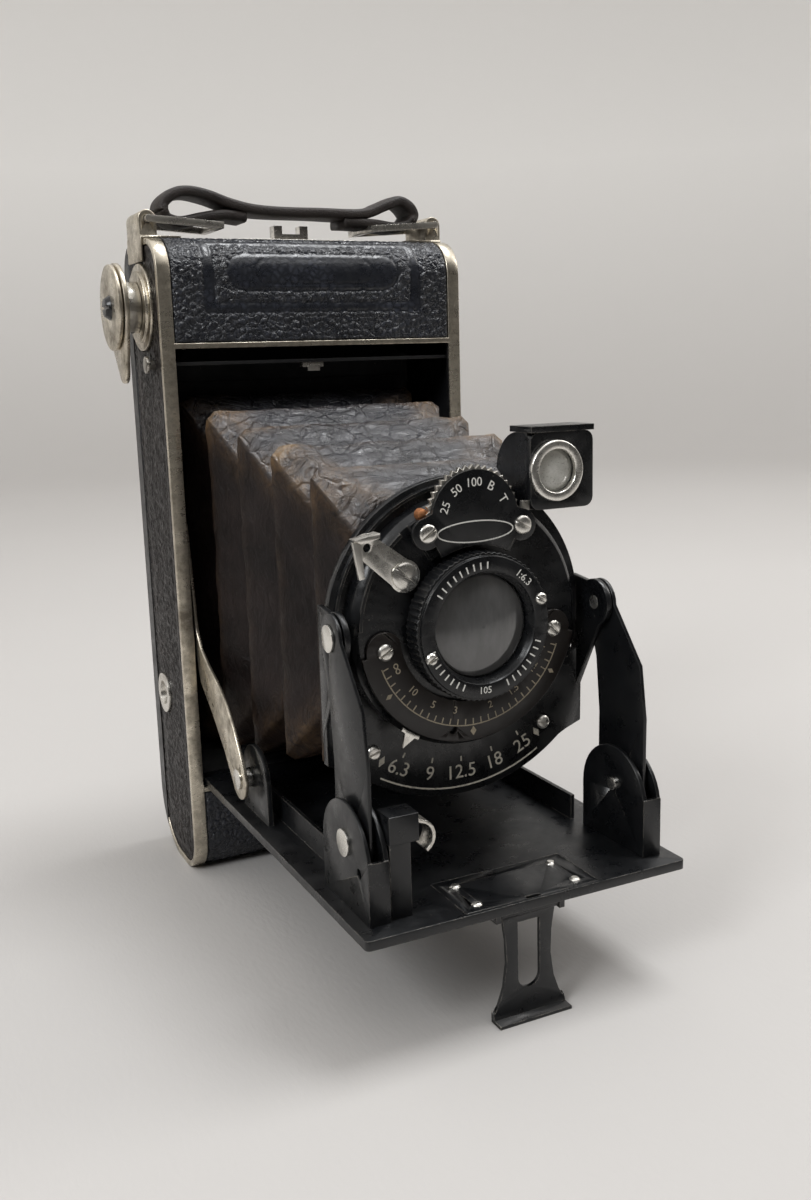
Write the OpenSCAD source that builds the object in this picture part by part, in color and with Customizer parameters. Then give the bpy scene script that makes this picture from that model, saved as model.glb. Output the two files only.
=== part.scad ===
// Folding roll-film camera: a drop-down bed, a self-erecting lens standard and a bellows.
// The body stands on its rounded end with the bed open and the folding foot on the floor.
// Millimetres. X runs to the right as seen from the lens side, -Y is the lens side, Z is up.
// The origin is the middle of the body's base.

/* [Body] */
// Width of the body across the front
body_w = 80; // [76:0.5:84]
// Depth of the body from front face to back
body_d = 31; // [31:0.5:33]
// Height of the body
body_h = 159; // [159:0.5:162]
// Thickness of the sheet metal shell
shell_t = 1; // [0.8:0.1:1.2]
// Thickness of the leather covering
leather_t = 0.6; // [0.4:0.1:0.6]
// Radius of the two front corners seen from the side
front_corner_r = 9; // [7:0.5:9]
// Radius of the bottom back corner seen from the side
back_corner_r = 16; // [15.5:0.5:16]

/* [Film] */
// Width of the picture frame in the film gate
gate_w = 56; // [54:0.5:56]
// Height of the picture frame in the film gate
gate_h = 86; // [80:0.5:86]
// Radius of the flanges of a film spool
spool_flange_r = 12.6; // [12:0.1:12.6]
// Length of a film spool
spool_len = 65; // [64:0.1:65]

/* [Bed] */
// Distance from the body's front face to the open bed's front edge
bed_reach = 99; // [96:0.5:99]
// Height of the open bed's upper face
bed_z = 26; // [26:0.1:26.5]
// Thickness of the bed with its leather
bed_t = 2; // [1.6:0.1:2]
// Width of the bed
bed_w = 72.6; // [71:0.1:72.8]

/* [Lens] */
// Height of the lens axis
lens_z = 76.3; // [76:0.1:77]
// Outer radius of the knurled focusing ring
focus_r = 15.2; // [14:0.1:15.6]
// Radius of the shutter case
case_r = 26; // [25:0.1:26]
// Radius of the standard's round upper part
standard_r = 29.5; // [29:0.1:29.5]

/* [Foot] */
// Width of the foot's pad
foot_w = 16.6; // [14:0.1:18]
// Thickness of the foot's sheet metal
foot_t = 0.9; // [0.7:0.1:1.2]

/* [Hidden] */
$fn = 64;

// Body planes
front_y = -body_d / 2;
back_y = body_d / 2;
half_w = body_w / 2;
skin_x = half_w - 0.7;
wall_x = skin_x - shell_t;
split_y = back_y - 4.5;
top_back_r = 8;

// Front opening
open_x = 36.7;
open_z0 = 23.6;
open_z1 = 132.9;
trim_h = 1.3;

// Spool chambers
spool_y = front_y + 16.1;
supply_z = 16.2;
winder_z = 143.2;
gate_y = front_y + 24;
gate_t = 1;
chamber_top_z = 129;
chamber_t = 0.8;
roller_r = 1.5;
roller_z0 = 31.5;
roller_z1 = 122.6;
spool_core_r = 4;
spool_bore_r = 2.5;
pin_gap = 0.06;

// Bed hinge and bed parts
hinge_y = front_y + 4.5;
hinge_z = bed_z + 3;
hinge_r = 0.8;
knuckle_r = 1.7;
bed_tip = front_y - bed_reach;
bed_low = bed_z - bed_t;
rail_x = 28.3;
rail_t = 0.9;
rail_h = 5.7;
pivot_y = front_y - 83.5;
pivot_z = bed_z + 13;
bracket_in = 29.0;
bracket_out = 33.4;
bracket_r = 10.9;
bracket_top = pivot_z - 2.5;
rivet_r = 1.45;
ear_x = 31.8;
ear_t = 1.2;
brace_x = 35.2;
brace_t = 0.9;
stay_y = front_y - 27.5;
stay_z = bed_z + 8.5;
knee_y = front_y + 2;
knee_z = bed_z + 33;
stay_top_y = front_y + 6;
stay_top_z = bed_z + 63.5;

// Struts and standard
strut_x = 30.9;
strut_t = 0.8;
top_y = front_y - 76;
top_z = lens_z + 1;
plate_y = front_y - 67.5;
plate_t = 2;
plate_front = plate_y - plate_t;
case_front = front_y - 74.2;
scale_front = case_front - 0.9;
wheel_front = front_y - 76.7;
speed_front = wheel_front - 0.8;
focus_front = front_y - 81.2;
focus_back = front_y - 75.6;
light_r = 10.6;
speed_z = lens_z + 21.5;
speed_r = 9.8;

// Finder
finder_x0 = 13.2;
finder_x1 = 28.3;
finder_z0 = 98.2;
finder_z1 = 115.5;
finder_front = front_y - 77;
finder_back = front_y - 62.6;
finder_eye_x = 18.8;
finder_eye_z = 106.1;

// Foot
foot_y = front_y - 95.6;
foot_pin_z = bed_low - 1.3;
foot_pin_r = 0.7;

// Back cover hinge
cover_hinge_y = 13.1;
cover_hinge_z = 4.9;
cover_knuckle_r = 1.5;

// Finishes
nickel = [0.72, 0.70, 0.64];
black = [0.06, 0.06, 0.07];
hide = [0.13, 0.13, 0.15];
brown = [0.17, 0.12, 0.09];
steel = [0.55, 0.55, 0.55];

// Points along an arc of circle
function arc(cx, cy, r, a0, a1, n = 8) =
    [for (i = [0:n]) [cx + r * cos(a0 + (a1 - a0) * i / n), cy + r * sin(a0 + (a1 - a0) * i / n)]];

// The body's outline from the side (y, z), drawn in by a distance
function side_outline(in = 0) = concat(
    arc(front_y + front_corner_r, front_corner_r, front_corner_r - in, 180, 270),
    arc(back_y - back_corner_r, back_corner_r, back_corner_r - in, 270, 360, 12),
    arc(back_y - top_back_r, body_h - top_back_r, top_back_r - in, 0, 90),
    arc(front_y + front_corner_r, body_h - front_corner_r, front_corner_r - in, 90, 180));

// A rectangle with round corners, from its low corner to its high corner
function round_box(a, b, c, d, r, n = 4) = concat(
    arc(a + r, b + r, r, 180, 270, n), arc(c - r, b + r, r, 270, 360, n),
    arc(c - r, d - r, r, 0, 90, n), arc(a + r, d - r, r, 90, 180, n));

// A ring sector about a centre
function sector(cx, cy, r0, r1, a0, a1, n = 24) =
    concat(arc(cx, cy, r1, a0, a1, n), arc(cx, cy, r0, a1, a0, n));

// Extrudes a (y, z) outline from x0 to x1
module along_x(x0, x1)
    translate([x0, 0, 0]) rotate([90, 0, 90]) linear_extrude(x1 - x0) children();

// Extrudes an (x, z) outline from y0 to y1
module along_y(y0, y1)
    translate([0, y1, 0]) rotate([90, 0, 0]) linear_extrude(y1 - y0) children();

module rod_x(r, x0, x1, y, z) translate([x0, y, z]) rotate([0, 90, 0]) cylinder(r = r, h = x1 - x0);
module rod_y(r, y0, y1, x, z) translate([x, y1, z]) rotate([90, 0, 0]) cylinder(r = r, h = y1 - y0);
module box(a, b) translate(a) cube(b - a);
module both_sides() {
    children();
    mirror([1, 0, 0]) children();
}

// A domed screw head with a slot, facing -Y
module slotted_head(x, z, y, r, turn = 0)
    translate([x, y, z]) rotate([90, turn, 0]) difference() {
        union() {
            cylinder(r = r, h = 0.5);
            translate([0, 0, 0.5]) cylinder(r1 = r, r2 = r * 0.75, h = 0.35);
        }
        translate([-r * 1.2, -0.22, 0.5]) cube([r * 2.4, 0.44, 1]);
    }

// Body ---------------------------------------------------------------------------------------

module body_shell() color(black) difference() {
    union() {
        difference() {
            along_x(-skin_x, skin_x) polygon(side_outline(leather_t));
            along_x(-wall_x, wall_x) polygon(side_outline(leather_t + shell_t));
            box([-open_x, front_y - 1, open_z0], [open_x, front_y + 4, open_z1]);
            box([-half_w, split_y, -1], [half_w, back_y + 1, body_h + 1]);
        }
        for (x = [-30, 18])
            along_x(x, x + 12) polygon([[8.6, 4.2], [cover_hinge_y, cover_hinge_z - cover_knuckle_r],
                [cover_hinge_y, cover_hinge_z], [11, 4.7], [10.8, 6.2], [9, 5]]);
        for (x = [-30, 18])
            rod_x(cover_knuckle_r, x, x + 12, cover_hinge_y, cover_hinge_z);
    }
    rod_x(0.76, -31, 31, cover_hinge_y, cover_hinge_z);
    rod_x(3.1, -half_w - 1, -wall_x + 1, spool_y, winder_z);
    rod_x(4.3, -half_w - 1, -wall_x + 1, front_y + 20, 44.4);
    rod_x(1.26, -half_w - 1, -wall_x + 1, front_y + 8.8, 129.4);
}

// A band that follows the body's outline between two insets, in front of the back cover
module front_band(out, in, x0, x1) difference() {
    along_x(x0, x1) polygon(side_outline(out));
    along_x(x0 - 1, x1 + 1) polygon(side_outline(in));
    box([x0 - 1, split_y, -1], [x1 + 1, back_y + 1, body_h + 1]);
}

module front_rim() color(nickel) {
    both_sides() {
        front_band(0, leather_t, open_x, half_w);
        front_band(0, leather_t + 0.9, skin_x, half_w);
    }
    box([-open_x, front_y, open_z1], [open_x, front_y + leather_t, open_z1 + trim_h]);
    box([-open_x, front_y, open_z0 - trim_h], [open_x, front_y + leather_t, open_z0]);
}

module body_leathers() color(hide) {
    front_leather();
    side_leather();
}
module front_leather() difference() {
    front_band(0, leather_t, -open_x + 0.05, open_x - 0.05);
    box([-half_w, front_y - 1, open_z0 - trim_h - 0.05],
        [half_w, front_y + 2, open_z1 + trim_h + 0.05]);
    box([-half_w, 8, -1], [half_w, split_y + 1, 30]);
    box([-16.1, -4.1, body_h - 2], [16.1, 8.1, body_h + 1]);
}

module side_leather() difference() {
    both_sides() difference() {
        along_x(skin_x, half_w) polygon(side_outline(leather_t + 0.95));
        box([0, split_y - 0.05, -1], [half_w + 1, back_y + 1, body_h + 1]);
    }
    rod_x(10.45, -half_w - 1, -skin_x + 1, spool_y, winder_z);
    rod_x(5.25, -half_w - 1, -skin_x + 1, front_y + 20, 44.4);
    rod_x(1.3, -half_w - 1, -skin_x + 1, front_y + 8.8, 129.4);
}

// The die-cast inner frame: film gate, chamber walls and the body half of the bed hinge
module gate_frame() color(black) difference() {
    union() {
        box([-34.5, gate_y, 29.6], [34.5, gate_y + gate_t, chamber_top_z + chamber_t]);
        box([-wall_x, front_y + 2, chamber_top_z],
            [wall_x, gate_y + gate_t, chamber_top_z + chamber_t]);
        along_x(-wall_x, wall_x) polygon(concat(
            [for (p = [[1.6, 22.4], [4.6, 22.4], [5.6, 24.2], [7.6, 27.2], [10.6, 29.1], [25, 29.6]])
                [front_y + p[0], p[1]]],
            [for (p = [[25, 30.3], [10.2, 29.8], [7.1, 27.8], [5.1, 24.9], [4.1, 23], [1.6, 23]])
                [front_y + p[0], p[1]]]));
        for (x = [-27.8, 24.4])
            along_x(x, x + 3.4) polygon([[hinge_y, hinge_z - knuckle_r], [hinge_y + 3, 27.6],
                [hinge_y + 6.2, 29.4], [hinge_y + 6.2, 29.8], [hinge_y, hinge_z + knuckle_r]]);
        for (x = [-27.8, 24.4])
            rod_x(knuckle_r, x, x + 3.4, hinge_y, hinge_z);
        for (z = [roller_z0, roller_z1])
            box([-33, gate_y - 1.5, z - 2], [33, gate_y + 0.1, z + 2]);
    }
    box([-gate_w / 2, gate_y - 1, lens_z - gate_h / 2], [gate_w / 2, gate_y + 3, lens_z + gate_h / 2]);
    for (z = [roller_z0, roller_z1])
        box([-31.6, gate_y - 1.1, z - roller_r - 0.15], [31.6, gate_y + 3, z + roller_r + 0.15]);
    for (z = [roller_z0, roller_z1])
        rod_x(0.7, -33, 33, gate_y + gate_t / 2, z);
    rod_x(hinge_r + pin_gap, -40, 40, hinge_y, hinge_z);
    rod_x(1.4, -wall_x - 1, -wall_x + 2.2, front_y + 8.8, 129.4);
}

// A polished film guide roller with stub axles
module film_roller(z) {
    rod_x(roller_r, -31.4, 31.4, gate_y + gate_t / 2, z);
    rod_x(0.65, -32.9, 32.9, gate_y + gate_t / 2, z);
}
module roller_top() color(steel) film_roller(roller_z1);
module roller_bottom() color(steel) film_roller(roller_z0);

// A roll-film spool: core, two flanges and a driving slot in each end
module spool(z) difference() {
    union() {
        rod_x(spool_core_r, -spool_len / 2, spool_len / 2, spool_y, z);
        rod_x(spool_flange_r, -spool_len / 2, -spool_len / 2 + 0.9, spool_y, z);
        rod_x(spool_flange_r, spool_len / 2 - 0.9, spool_len / 2, spool_y, z);
    }
    rod_x(spool_bore_r, -spool_len / 2 - 1, -spool_len / 2 + 6, spool_y, z);
    rod_x(spool_bore_r, spool_len / 2 - 6, spool_len / 2 + 1, spool_y, z);
}

module takeup_spool() color(black) spool(winder_z);
module supply_spool() color(black) spool(supply_z);

// Spring pins that carry the spools, each with a collar against the body wall
module spool_pins() color(nickel) {
    for (p = [[1, winder_z], [1, supply_z], [-1, supply_z]])
        mirror([p[0] > 0 ? 0 : 1, 0, 0]) {
            rod_x(spool_bore_r - pin_gap, spool_len / 2 - 4, wall_x, spool_y, p[1]);
            rod_x(5, wall_x - 1.2, wall_x, spool_y, p[1]);
        }
}

module key_escutcheon() color(nickel) difference() {
    union() {
        rod_x(10.4, -half_w - 0.5, -skin_x, spool_y, winder_z);
        rod_x(8.6, -half_w - 1.3, -half_w - 0.5, spool_y, winder_z);
    }
    rod_x(3.1, -half_w - 2, -skin_x + 1, spool_y, winder_z);
}

// Winding shaft with its drum outside and the driving blade end in the spool
module key_shaft() color(nickel) {
    rod_x(6.2, -half_w - 5.4, -half_w - 1.45, spool_y, winder_z);
    rod_x(3.0, -half_w - 1.5, -wall_x + 0.3, spool_y, winder_z);
    rod_x(spool_bore_r - pin_gap, -wall_x + 0.2, -spool_len / 2 + 4, spool_y, winder_z);
}

// The wing: a disc with a longer tail to turn it by, and its folded-over grip
module key_wing() color(nickel) difference() {
    union() {
        along_x(-half_w - 6.5, -half_w - 5.4) polygon(concat(
            arc(spool_y, winder_z, 10.5, -25, 205, 24),
            arc(spool_y - 3.2, winder_z - 14.5, 3.6, 200, 330, 8)));
        along_x(-half_w - 7.8, -half_w - 6.9) polygon(arc(spool_y, winder_z, 10.2, 0, 350, 35));
        rod_x(3.2, -half_w - 7, -half_w - 6.4, spool_y, winder_z);
    }
    rod_x(1.3, -half_w - 9, -half_w - 5, spool_y, winder_z);
}

module key_screw() color(black) difference() {
    union() {
        rod_x(1.25, -half_w - 8, -half_w - 5.4, spool_y, winder_z);
        translate([-half_w - 7.8, spool_y, winder_z]) rotate([0, -90, 0])
            cylinder(r1 = 3, r2 = 2.1, h = 1.3);
    }
    box([-half_w - 10, spool_y - 4, winder_z - 0.3], [-half_w - 8.5, spool_y + 4, winder_z + 0.3]);
}

module release_button() color(nickel) {
    rod_x(1.2, -half_w - 1.1, -wall_x + 1.1, front_y + 8.8, 129.4);
    rod_x(2.0, -half_w - 1.9, -half_w - 1.1, front_y + 8.8, 129.4);
}

// Catch bar inside the top of the opening, which holds the closed bed
module bed_catch() color(nickel) {
    box([-3.6, front_y + 2.6, chamber_top_z - 1.2], [2, front_y + 5, chamber_top_z]);
    box([-2.4, front_y + 2.1, chamber_top_z - 2.2], [0.8, front_y + 2.9, chamber_top_z - 0.6]);
}

module tripod_bush() color(nickel) difference() {
    union() {
        rod_x(5.2, -half_w - 0.35, -skin_x, front_y + 20, 44.4);
        rod_x(4.2, -skin_x - 0.1, -34.8, front_y + 20, 44.4);
    }
    rod_x(3.175, -half_w - 1, -34.8 - 0.8, front_y + 20, 44.4);
}

// Top plate of the back latch with the slot that the slide runs in
module latch_plate() color(nickel) difference() {
    box([-16, -4, body_h - leather_t], [16, 8, body_h + 0.5]);
    box([-7.2, 0.7, body_h - 0.25], [7.2, 3.3, body_h + 1]);
}

// Two-pronged latch slide that frees the back cover
module back_latch() color(nickel) {
    box([-4.6, 0.8, body_h - 0.2], [4.6, 3.2, body_h + 1.0]);
    for (x = [-4.6, 2.4])
        box([x, 0.4, body_h + 0.9], [x + 2.2, 3.6, body_h + 4.2]);
    box([-3, 0.4, body_h + 0.9], [3, 1.4, body_h + 2.2]);
}

// Sheet lugs folded over the body's upper corners, each with the eye for a strap loop
module strap_lugs() color(nickel) both_sides() difference() {
    union() {
        box([30.5, -5, body_h], [half_w + 0.6, 8, body_h + 0.7]);
        box([half_w, -5, body_h - 5.2], [half_w + 0.6, 8, body_h + 0.7]);
        lug_eye();
    }
    rod_y(0.95, -10, 12, half_w - 1.6, body_h + 4.6);
}
module lug_eye() along_y(-4.5, 7.5)
    polygon(concat([[half_w + 0.6, body_h], [half_w + 0.6, body_h + 4.6]],
        arc(half_w - 1.6, body_h + 4.6, 2.2, 0, 180, 10), [[half_w - 3.8, body_h + 0.2]]));

// Flat wire loops that hold the strap, hooked through the lugs
module strap_loops() color(nickel) both_sides() {
    rod_y(0.85, -6.4, 9.4, half_w - 1.6, body_h + 4.6);
    for (y = [-6.4, 8])
        translate([half_w - 1.6, y, body_h + 4.6]) rotate([0, -4, 0])
            translate([-17.5, 0, -0.8]) cube([18, 1.4, 1.6]);
    translate([half_w - 1.6, 0, body_h + 4.6]) rotate([0, -4, 0])
        translate([-18.5, -6.4, -0.8]) cube([1.4, 15.8, 1.6]);
}

// Leather carrying strap: one band threaded through both loops, doubled back on itself
module carry_strap() color(brown) along_y(-4.6, 7.4) polygon(concat(
    [[-34.4, body_h + 6.6], [-31.5, body_h + 10.2], [-27, body_h + 12.1], [-22, body_h + 11.4],
     [-16, body_h + 9.1], [-9, body_h + 8], [6, body_h + 7.8], [20, body_h + 7.9],
     [26, body_h + 10.1], [30, body_h + 11.4], [33, body_h + 9.8], [34.8, body_h + 6.8]],
    [[33.1, body_h + 6.8], [31.4, body_h + 8.4], [29, body_h + 9.2], [25, body_h + 7.9],
     [19.5, body_h + 5.6], [5, body_h + 5.5], [-9, body_h + 5.7], [-16.5, body_h + 6.8],
     [-22.5, body_h + 9.1], [-27, body_h + 9.8], [-30.5, body_h + 8.2], [-32.6, body_h + 6.6]]));

// Pressed back cover with a rolled edge round its leather
module back_cover() color(black) difference() {
    union() {
        difference() {
            along_x(-half_w, half_w) polygon(side_outline(0));
            along_x(-half_w + 1.1, half_w - 1.1) polygon(side_outline(leather_t + 0.6));
            box([-half_w - 1, front_y - 1, -1], [half_w + 1, split_y + 0.15, body_h + 1]);
        }
        rod_x(cover_knuckle_r, -17.7, 17.7, cover_hinge_y, cover_hinge_z);
        along_x(-17.7, 17.7) polygon([[cover_hinge_y, cover_hinge_z], [12, 6.6], [13.3, 8.3],
            [cover_hinge_y + 1.4, cover_hinge_z + 0.5]]);
    }
    for (x = [-30.2, 17.8])
        box([x, split_y, 3], [x + 12.4, 14, 5.9]);
    difference() {
        along_x(-half_w + 1.3, half_w - 1.3) polygon(side_outline(-1));
        along_x(-half_w, half_w) polygon(side_outline(leather_t));
        box([-half_w - 1, front_y - 2, -2], [half_w + 1, split_y + 1.6, body_h + 2]);
        box([-half_w, 0, -2], [half_w, back_y + 2, 11]);
    }
    rod_x(0.76, -31, 31, cover_hinge_y, cover_hinge_z);
    rod_y(4, split_y, back_y + 1, 0, 46);
}

module back_leather() color(hide) difference() {
    along_x(-half_w + 1.35, half_w - 1.35) polygon(side_outline(0));
    along_x(-half_w, half_w) polygon(side_outline(leather_t));
    box([-half_w - 1, front_y - 2, -2], [half_w + 1, split_y + 1.65, body_h + 2]);
    box([-half_w, 0, -2], [half_w, back_y + 2, 11.05]);
    along_y(split_y, back_y + 1) polygon(round_box(-7.05, 38.95, 7.05, 62.05, 2));
}

// Hinge pins of the bed and of the back cover
module hinge_pins() color(nickel) {
    rod_x(hinge_r, -27.8, 27.8, hinge_y, hinge_z);
    rod_x(0.7, -30, 30, cover_hinge_y, cover_hinge_z);
}

module pressure_plate() color(black)
    along_y(front_y + 26.3, front_y + 27.1) polygon(round_box(-31, lens_z - 47, 31, lens_z + 46, 2.5));

// Bowed leaf springs between the pressure plate and the back cover
module pressure_springs() color(steel) for (z = [lens_z - 26, lens_z + 26])
    translate([0, 0, z - 4]) linear_extrude(8) polygon(concat(
        [for (x = [-24:6:24]) [x, front_y + 27.1 + 2.2 * (1 - pow(x / 24, 2))]],
        [for (x = [24:-6:-24]) [x, front_y + 27.45 + 2.2 * (1 - pow(x / 24, 2))]]));

module red_window() color([0.5, 0.02, 0.02]) rod_y(3.95, back_y - 1.2, back_y - 0.6, 0, 46);

module window_frame() color(nickel) difference() {
    along_y(back_y - leather_t, back_y) polygon(round_box(-7, 39, 7, 62, 2));
    rod_y(4, back_y - 2, back_y + 1, 0, 46);
    box([-4.6, back_y - 0.35, 41.1], [4.6, back_y + 0.1, 59.4]);
}

// Blind that slides up over the red window
module window_cover() color(black) {
    box([-4.5, back_y - 0.3, 41.4], [4.5, back_y + 0.1, 50.6]);
    box([-3, back_y + 0.1, 49], [3, back_y + 0.6, 50.2]);
}

// Bed ------------------------------------------------------------------------------------------

// Drop bed: pressed plate with side rails, stay ears, hinge knuckles and the foot's lugs
module bed_plate() color(black) difference() {
    union() {
        along_z(bed_low, bed_z)
            polygon(round_box(-bed_w / 2, bed_tip, bed_w / 2, hinge_y, 1));
        both_sides() {
            box([rail_x, front_y - 69, bed_z - 0.1], [rail_x + rail_t, front_y + 1, bed_z + rail_h]);
            along_x(ear_x, ear_x + ear_t) polygon(concat(
                [[front_y - 38.5, bed_z - 0.1], [front_y - 21.5, bed_z - 0.1]],
                arc(front_y - 30, bed_z + 8.6, 8.2, -10, 190, 16)));
            box([6.7, foot_y - 1.3, bed_low - 2.6], [7.9, foot_y + 1.3, bed_low + 0.1]);
        }
        for (x = [-24, 12])
            along_x(x, x + 12) polygon([[hinge_y - 2.4, bed_z - 0.1], [hinge_y, bed_z - 0.1],
                [hinge_y + 1.2, hinge_z - 1.1], [hinge_y, hinge_z], [hinge_y - 1.4, hinge_z - 0.8]]);
        for (x = [-24, 12])
            rod_x(knuckle_r, x, x + 12, hinge_y, hinge_z);
    }
    box([-bed_w / 2 + 1.2, bed_tip + 1.2, bed_low - 1],
        [bed_w / 2 - 1.2, foot_y - 1.9, bed_low + leather_t]);
    box([-bed_w / 2 + 1.2, foot_y + 1.9, bed_low - 1],
        [bed_w / 2 - 1.2, hinge_y - 1.2, bed_low + leather_t]);
    box([-15.1, front_y - 98.2, bed_z - 0.7], [15.1, front_y - 83.3, bed_z + 1]);
    for (x = [-11.3, 11.3])
        for (y = [front_y - 86.6, front_y - 95.4])
            translate([x, y, bed_low]) cylinder(r = 0.8, h = bed_t);
    rod_x(hinge_r + pin_gap, -30, 30, hinge_y, hinge_z);
    rod_x(foot_pin_r + 0.03, -9, 9, foot_y, foot_pin_z);
    rod_x(rivet_r + 0.05, -40, 40, stay_y, stay_z);
}
module along_z(z0, z1) translate([0, 0, z0]) linear_extrude(z1 - z0) children();

module bed_leather() color(hide)
    box([-bed_w / 2 + 1.25, foot_y + 1.95, bed_low],
        [bed_w / 2 - 1.25, hinge_y - 1.25, bed_low + leather_t]);

// U-shaped pivot bracket for one strut, open towards the body
module strut_bracket() difference() {
    union() {
        for (x = [bracket_in, bracket_out - 0.8])
            along_x(x, x + (x == bracket_in ? 1 : 0.8)) polygon(concat(
                [[pivot_y - bracket_r, bed_z], [pivot_y + bracket_r, bed_z]],
                arc(pivot_y, bracket_top, bracket_r, 0, 180, 20)));
        box([bracket_in, pivot_y - bracket_r, bed_z],
            [bracket_out, pivot_y - bracket_r + 0.9, bracket_top + 2]);
        box([bracket_in, pivot_y - bracket_r, bed_z],
            [bracket_out, pivot_y + bracket_r - 0.5, bed_z + 0.6]);
    }
    rod_x(rivet_r + 0.05, 0, 50, pivot_y, pivot_z);
    rod_x(1, 32, 50, front_y - 90, bed_z + 9);
}
module bracket_left() color(black) mirror([1, 0, 0]) strut_bracket();
module bracket_right() color(black) strut_bracket();

// Rivets of the bed: strut pivots, stay pivots and the four of the foot plate
module bed_rivets() color(nickel) {
    both_sides() {
        rod_x(rivet_r, bracket_in - 0.3, bracket_out + 0.1, pivot_y, pivot_z);
        rod_x(2.7, bracket_out, bracket_out + 0.45, pivot_y, pivot_z);
        rod_x(rivet_r, ear_x - 0.2, brace_x + brace_t + 0.1, stay_y, stay_z);
        rod_x(2.4, brace_x + brace_t + 0.03, brace_x + brace_t + 0.45, stay_y, stay_z);
        rod_x(2.3, ear_x + ear_t, brace_x - 0.05, stay_y, stay_z);
    }
    for (x = [-11.3, 11.3])
        for (y = [front_y - 86.6, front_y - 95.4])
            translate([x, y, 0]) {
                translate([0, 0, bed_low + leather_t + 0.05]) cylinder(r = 0.75, h = bed_t - 0.6);
                translate([0, 0, bed_z]) cylinder(r1 = 1.15, r2 = 0.7, h = 0.4);
            }
}

// Pawl beside the left bracket that locks the struts upright
module strut_lock() color(black) {
    box([-28.6, front_y - 93.6, bed_z], [-24.2, front_y - 90.4, bed_z + 15]);
    box([-28.8, front_y - 94.2, bed_z + 15], [-22.6, front_y - 88.6, bed_z + 20.6]);
}

// Nickel finger leaf of the pawl, curled at its end
module lock_leaf() color(nickel)
    along_y(front_y - 93.6, front_y - 89.2) polygon(concat(
        [[-22.6, bed_z + 19.4], [-22.6, bed_z + 18.4]],
        arc(-22.4, bed_z + 15.2, 2.9, 80, -60, 8),
        arc(-22.4, bed_z + 15.2, 3.6, -60, 80, 8)));

module foot_plate() color(black) difference() {
    box([-15, front_y - 98.1, bed_z - 0.7], [15, front_y - 83.4, bed_z]);
    box([-1.6, front_y - 99, bed_z - 1], [1.6, front_y - 97.2, bed_z + 1]);
    for (x = [-11.3, 11.3])
        for (y = [front_y - 86.6, front_y - 95.4])
            translate([x, y, bed_z - 1]) cylinder(r = 0.8, h = 2);
}

// Folding foot: waisted leaf with a long window, a knuckle above and a curled pad below
module foot() color(black) difference() {
    union() {
        along_y(foot_y - foot_t / 2, foot_y + foot_t / 2) polygon(concat(
            [[-6.2, foot_pin_z], [-5.3, 17], [-5.1, 12], [-5.8, 7], [-7, 3.6], [-foot_w / 2, 1.4]],
            [[-foot_w / 2, 0], [foot_w / 2, 0]],
            [[foot_w / 2, 1.4], [7, 3.6], [5.8, 7], [5.1, 12], [5.3, 17], [6.2, foot_pin_z]]));
        along_x(-foot_w / 2, foot_w / 2) polygon([[foot_y + 0.4, 0], [foot_y - 3.2, 0],
            [foot_y - 3.2, 0.7], [foot_y - 0.9, 0.8], [foot_y - 0.4, 1.9], [foot_y + 0.4, 2.4]]);
        along_x(-foot_w / 2 + 1.2, foot_w / 2 - 1.2) polygon([[foot_y, 0], [foot_y, 1.8],
            [foot_y + 0.9, 0.9], [foot_y + 1, 0]]);
        rod_x(1.15, -6.5, 6.5, foot_y, foot_pin_z);
    }
    rod_x(foot_pin_r + 0.05, -9, 9, foot_y, foot_pin_z);
    box([-2.5, foot_y - 2, 8.4], [2.5, foot_y + 2, foot_pin_z - 2.4]);
    rod_y(2.5, foot_y - 2, foot_y + 2, 0, 8.4);
}

module foot_pin() color(nickel) rod_x(foot_pin_r, -8.2, 8.2, foot_y, foot_pin_z);

// Struts and stays -------------------------------------------------------------------------------

function lean(dy, dz) = atan2(dz, dy);
strut_a = lean(top_y - pivot_y, top_z - pivot_z);

// Tapered strut from the bed bracket to the standard, bowed along its front edge
module strut() difference() {
    along_x(strut_x, strut_x + strut_t) polygon(concat(
        arc(top_y, top_z, 5, strut_a - 90, strut_a + 100, 14),
        [[pivot_y - 6.6, pivot_z + 27], [pivot_y - 8.2, pivot_z + 16]],
        arc(pivot_y, pivot_z, 8, strut_a + 100, strut_a + 270, 14),
        [[pivot_y + 7.6, pivot_z + 14], [pivot_y + 8.8, pivot_z + 26]]));
    rod_x(rivet_r + 0.08, 0, 50, pivot_y, pivot_z);
    rod_x(rivet_r + 0.08, 0, 50, top_y, top_z);
}
module strut_left() color(black) mirror([1, 0, 0]) strut();
module strut_right() color(black) strut();

// Large-headed rivets that join the struts to the standard's ears
module strut_rivets() color(nickel) both_sides() {
    rod_x(rivet_r, 29.3, strut_x + strut_t + 0.1, top_y, top_z);
    rod_x(2.7, strut_x + strut_t + 0.05, strut_x + strut_t + 0.5, top_y, top_z);
}

// Bed stay: a broad blade riveted to the bed that bends up into a narrow strip inside the body
module stay() difference() {
    along_x(brace_x, brace_x + brace_t) polygon(concat(
        arc(stay_y, stay_z, 4.9, 150, 330, 14),
        [[front_y - 17.5, bed_z + 12.6], [front_y - 9.5, bed_z + 19.5]],
        [[knee_y - 3, knee_z - 7.6], [knee_y - 0.6, knee_z - 1.4]],
        [[knee_y + 2.2, knee_z + 6], [stay_top_y - 2 + 3.2, stay_top_z]],
        arc(stay_top_y, stay_top_z, 1.8, 0, 180, 6),
        [[knee_y - 1.4, knee_z + 6], [knee_y - 4.4, knee_z + 1.2], [front_y - 8, bed_z + 31.2]],
        [[front_y - 14, bed_z + 28.6], [front_y - 20, bed_z + 25], [front_y - 25, bed_z + 20.4]],
        [[front_y - 29.4, bed_z + 14.6]]));
    rod_x(rivet_r + 0.06, 0, 50, stay_y, stay_z);
}
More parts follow.
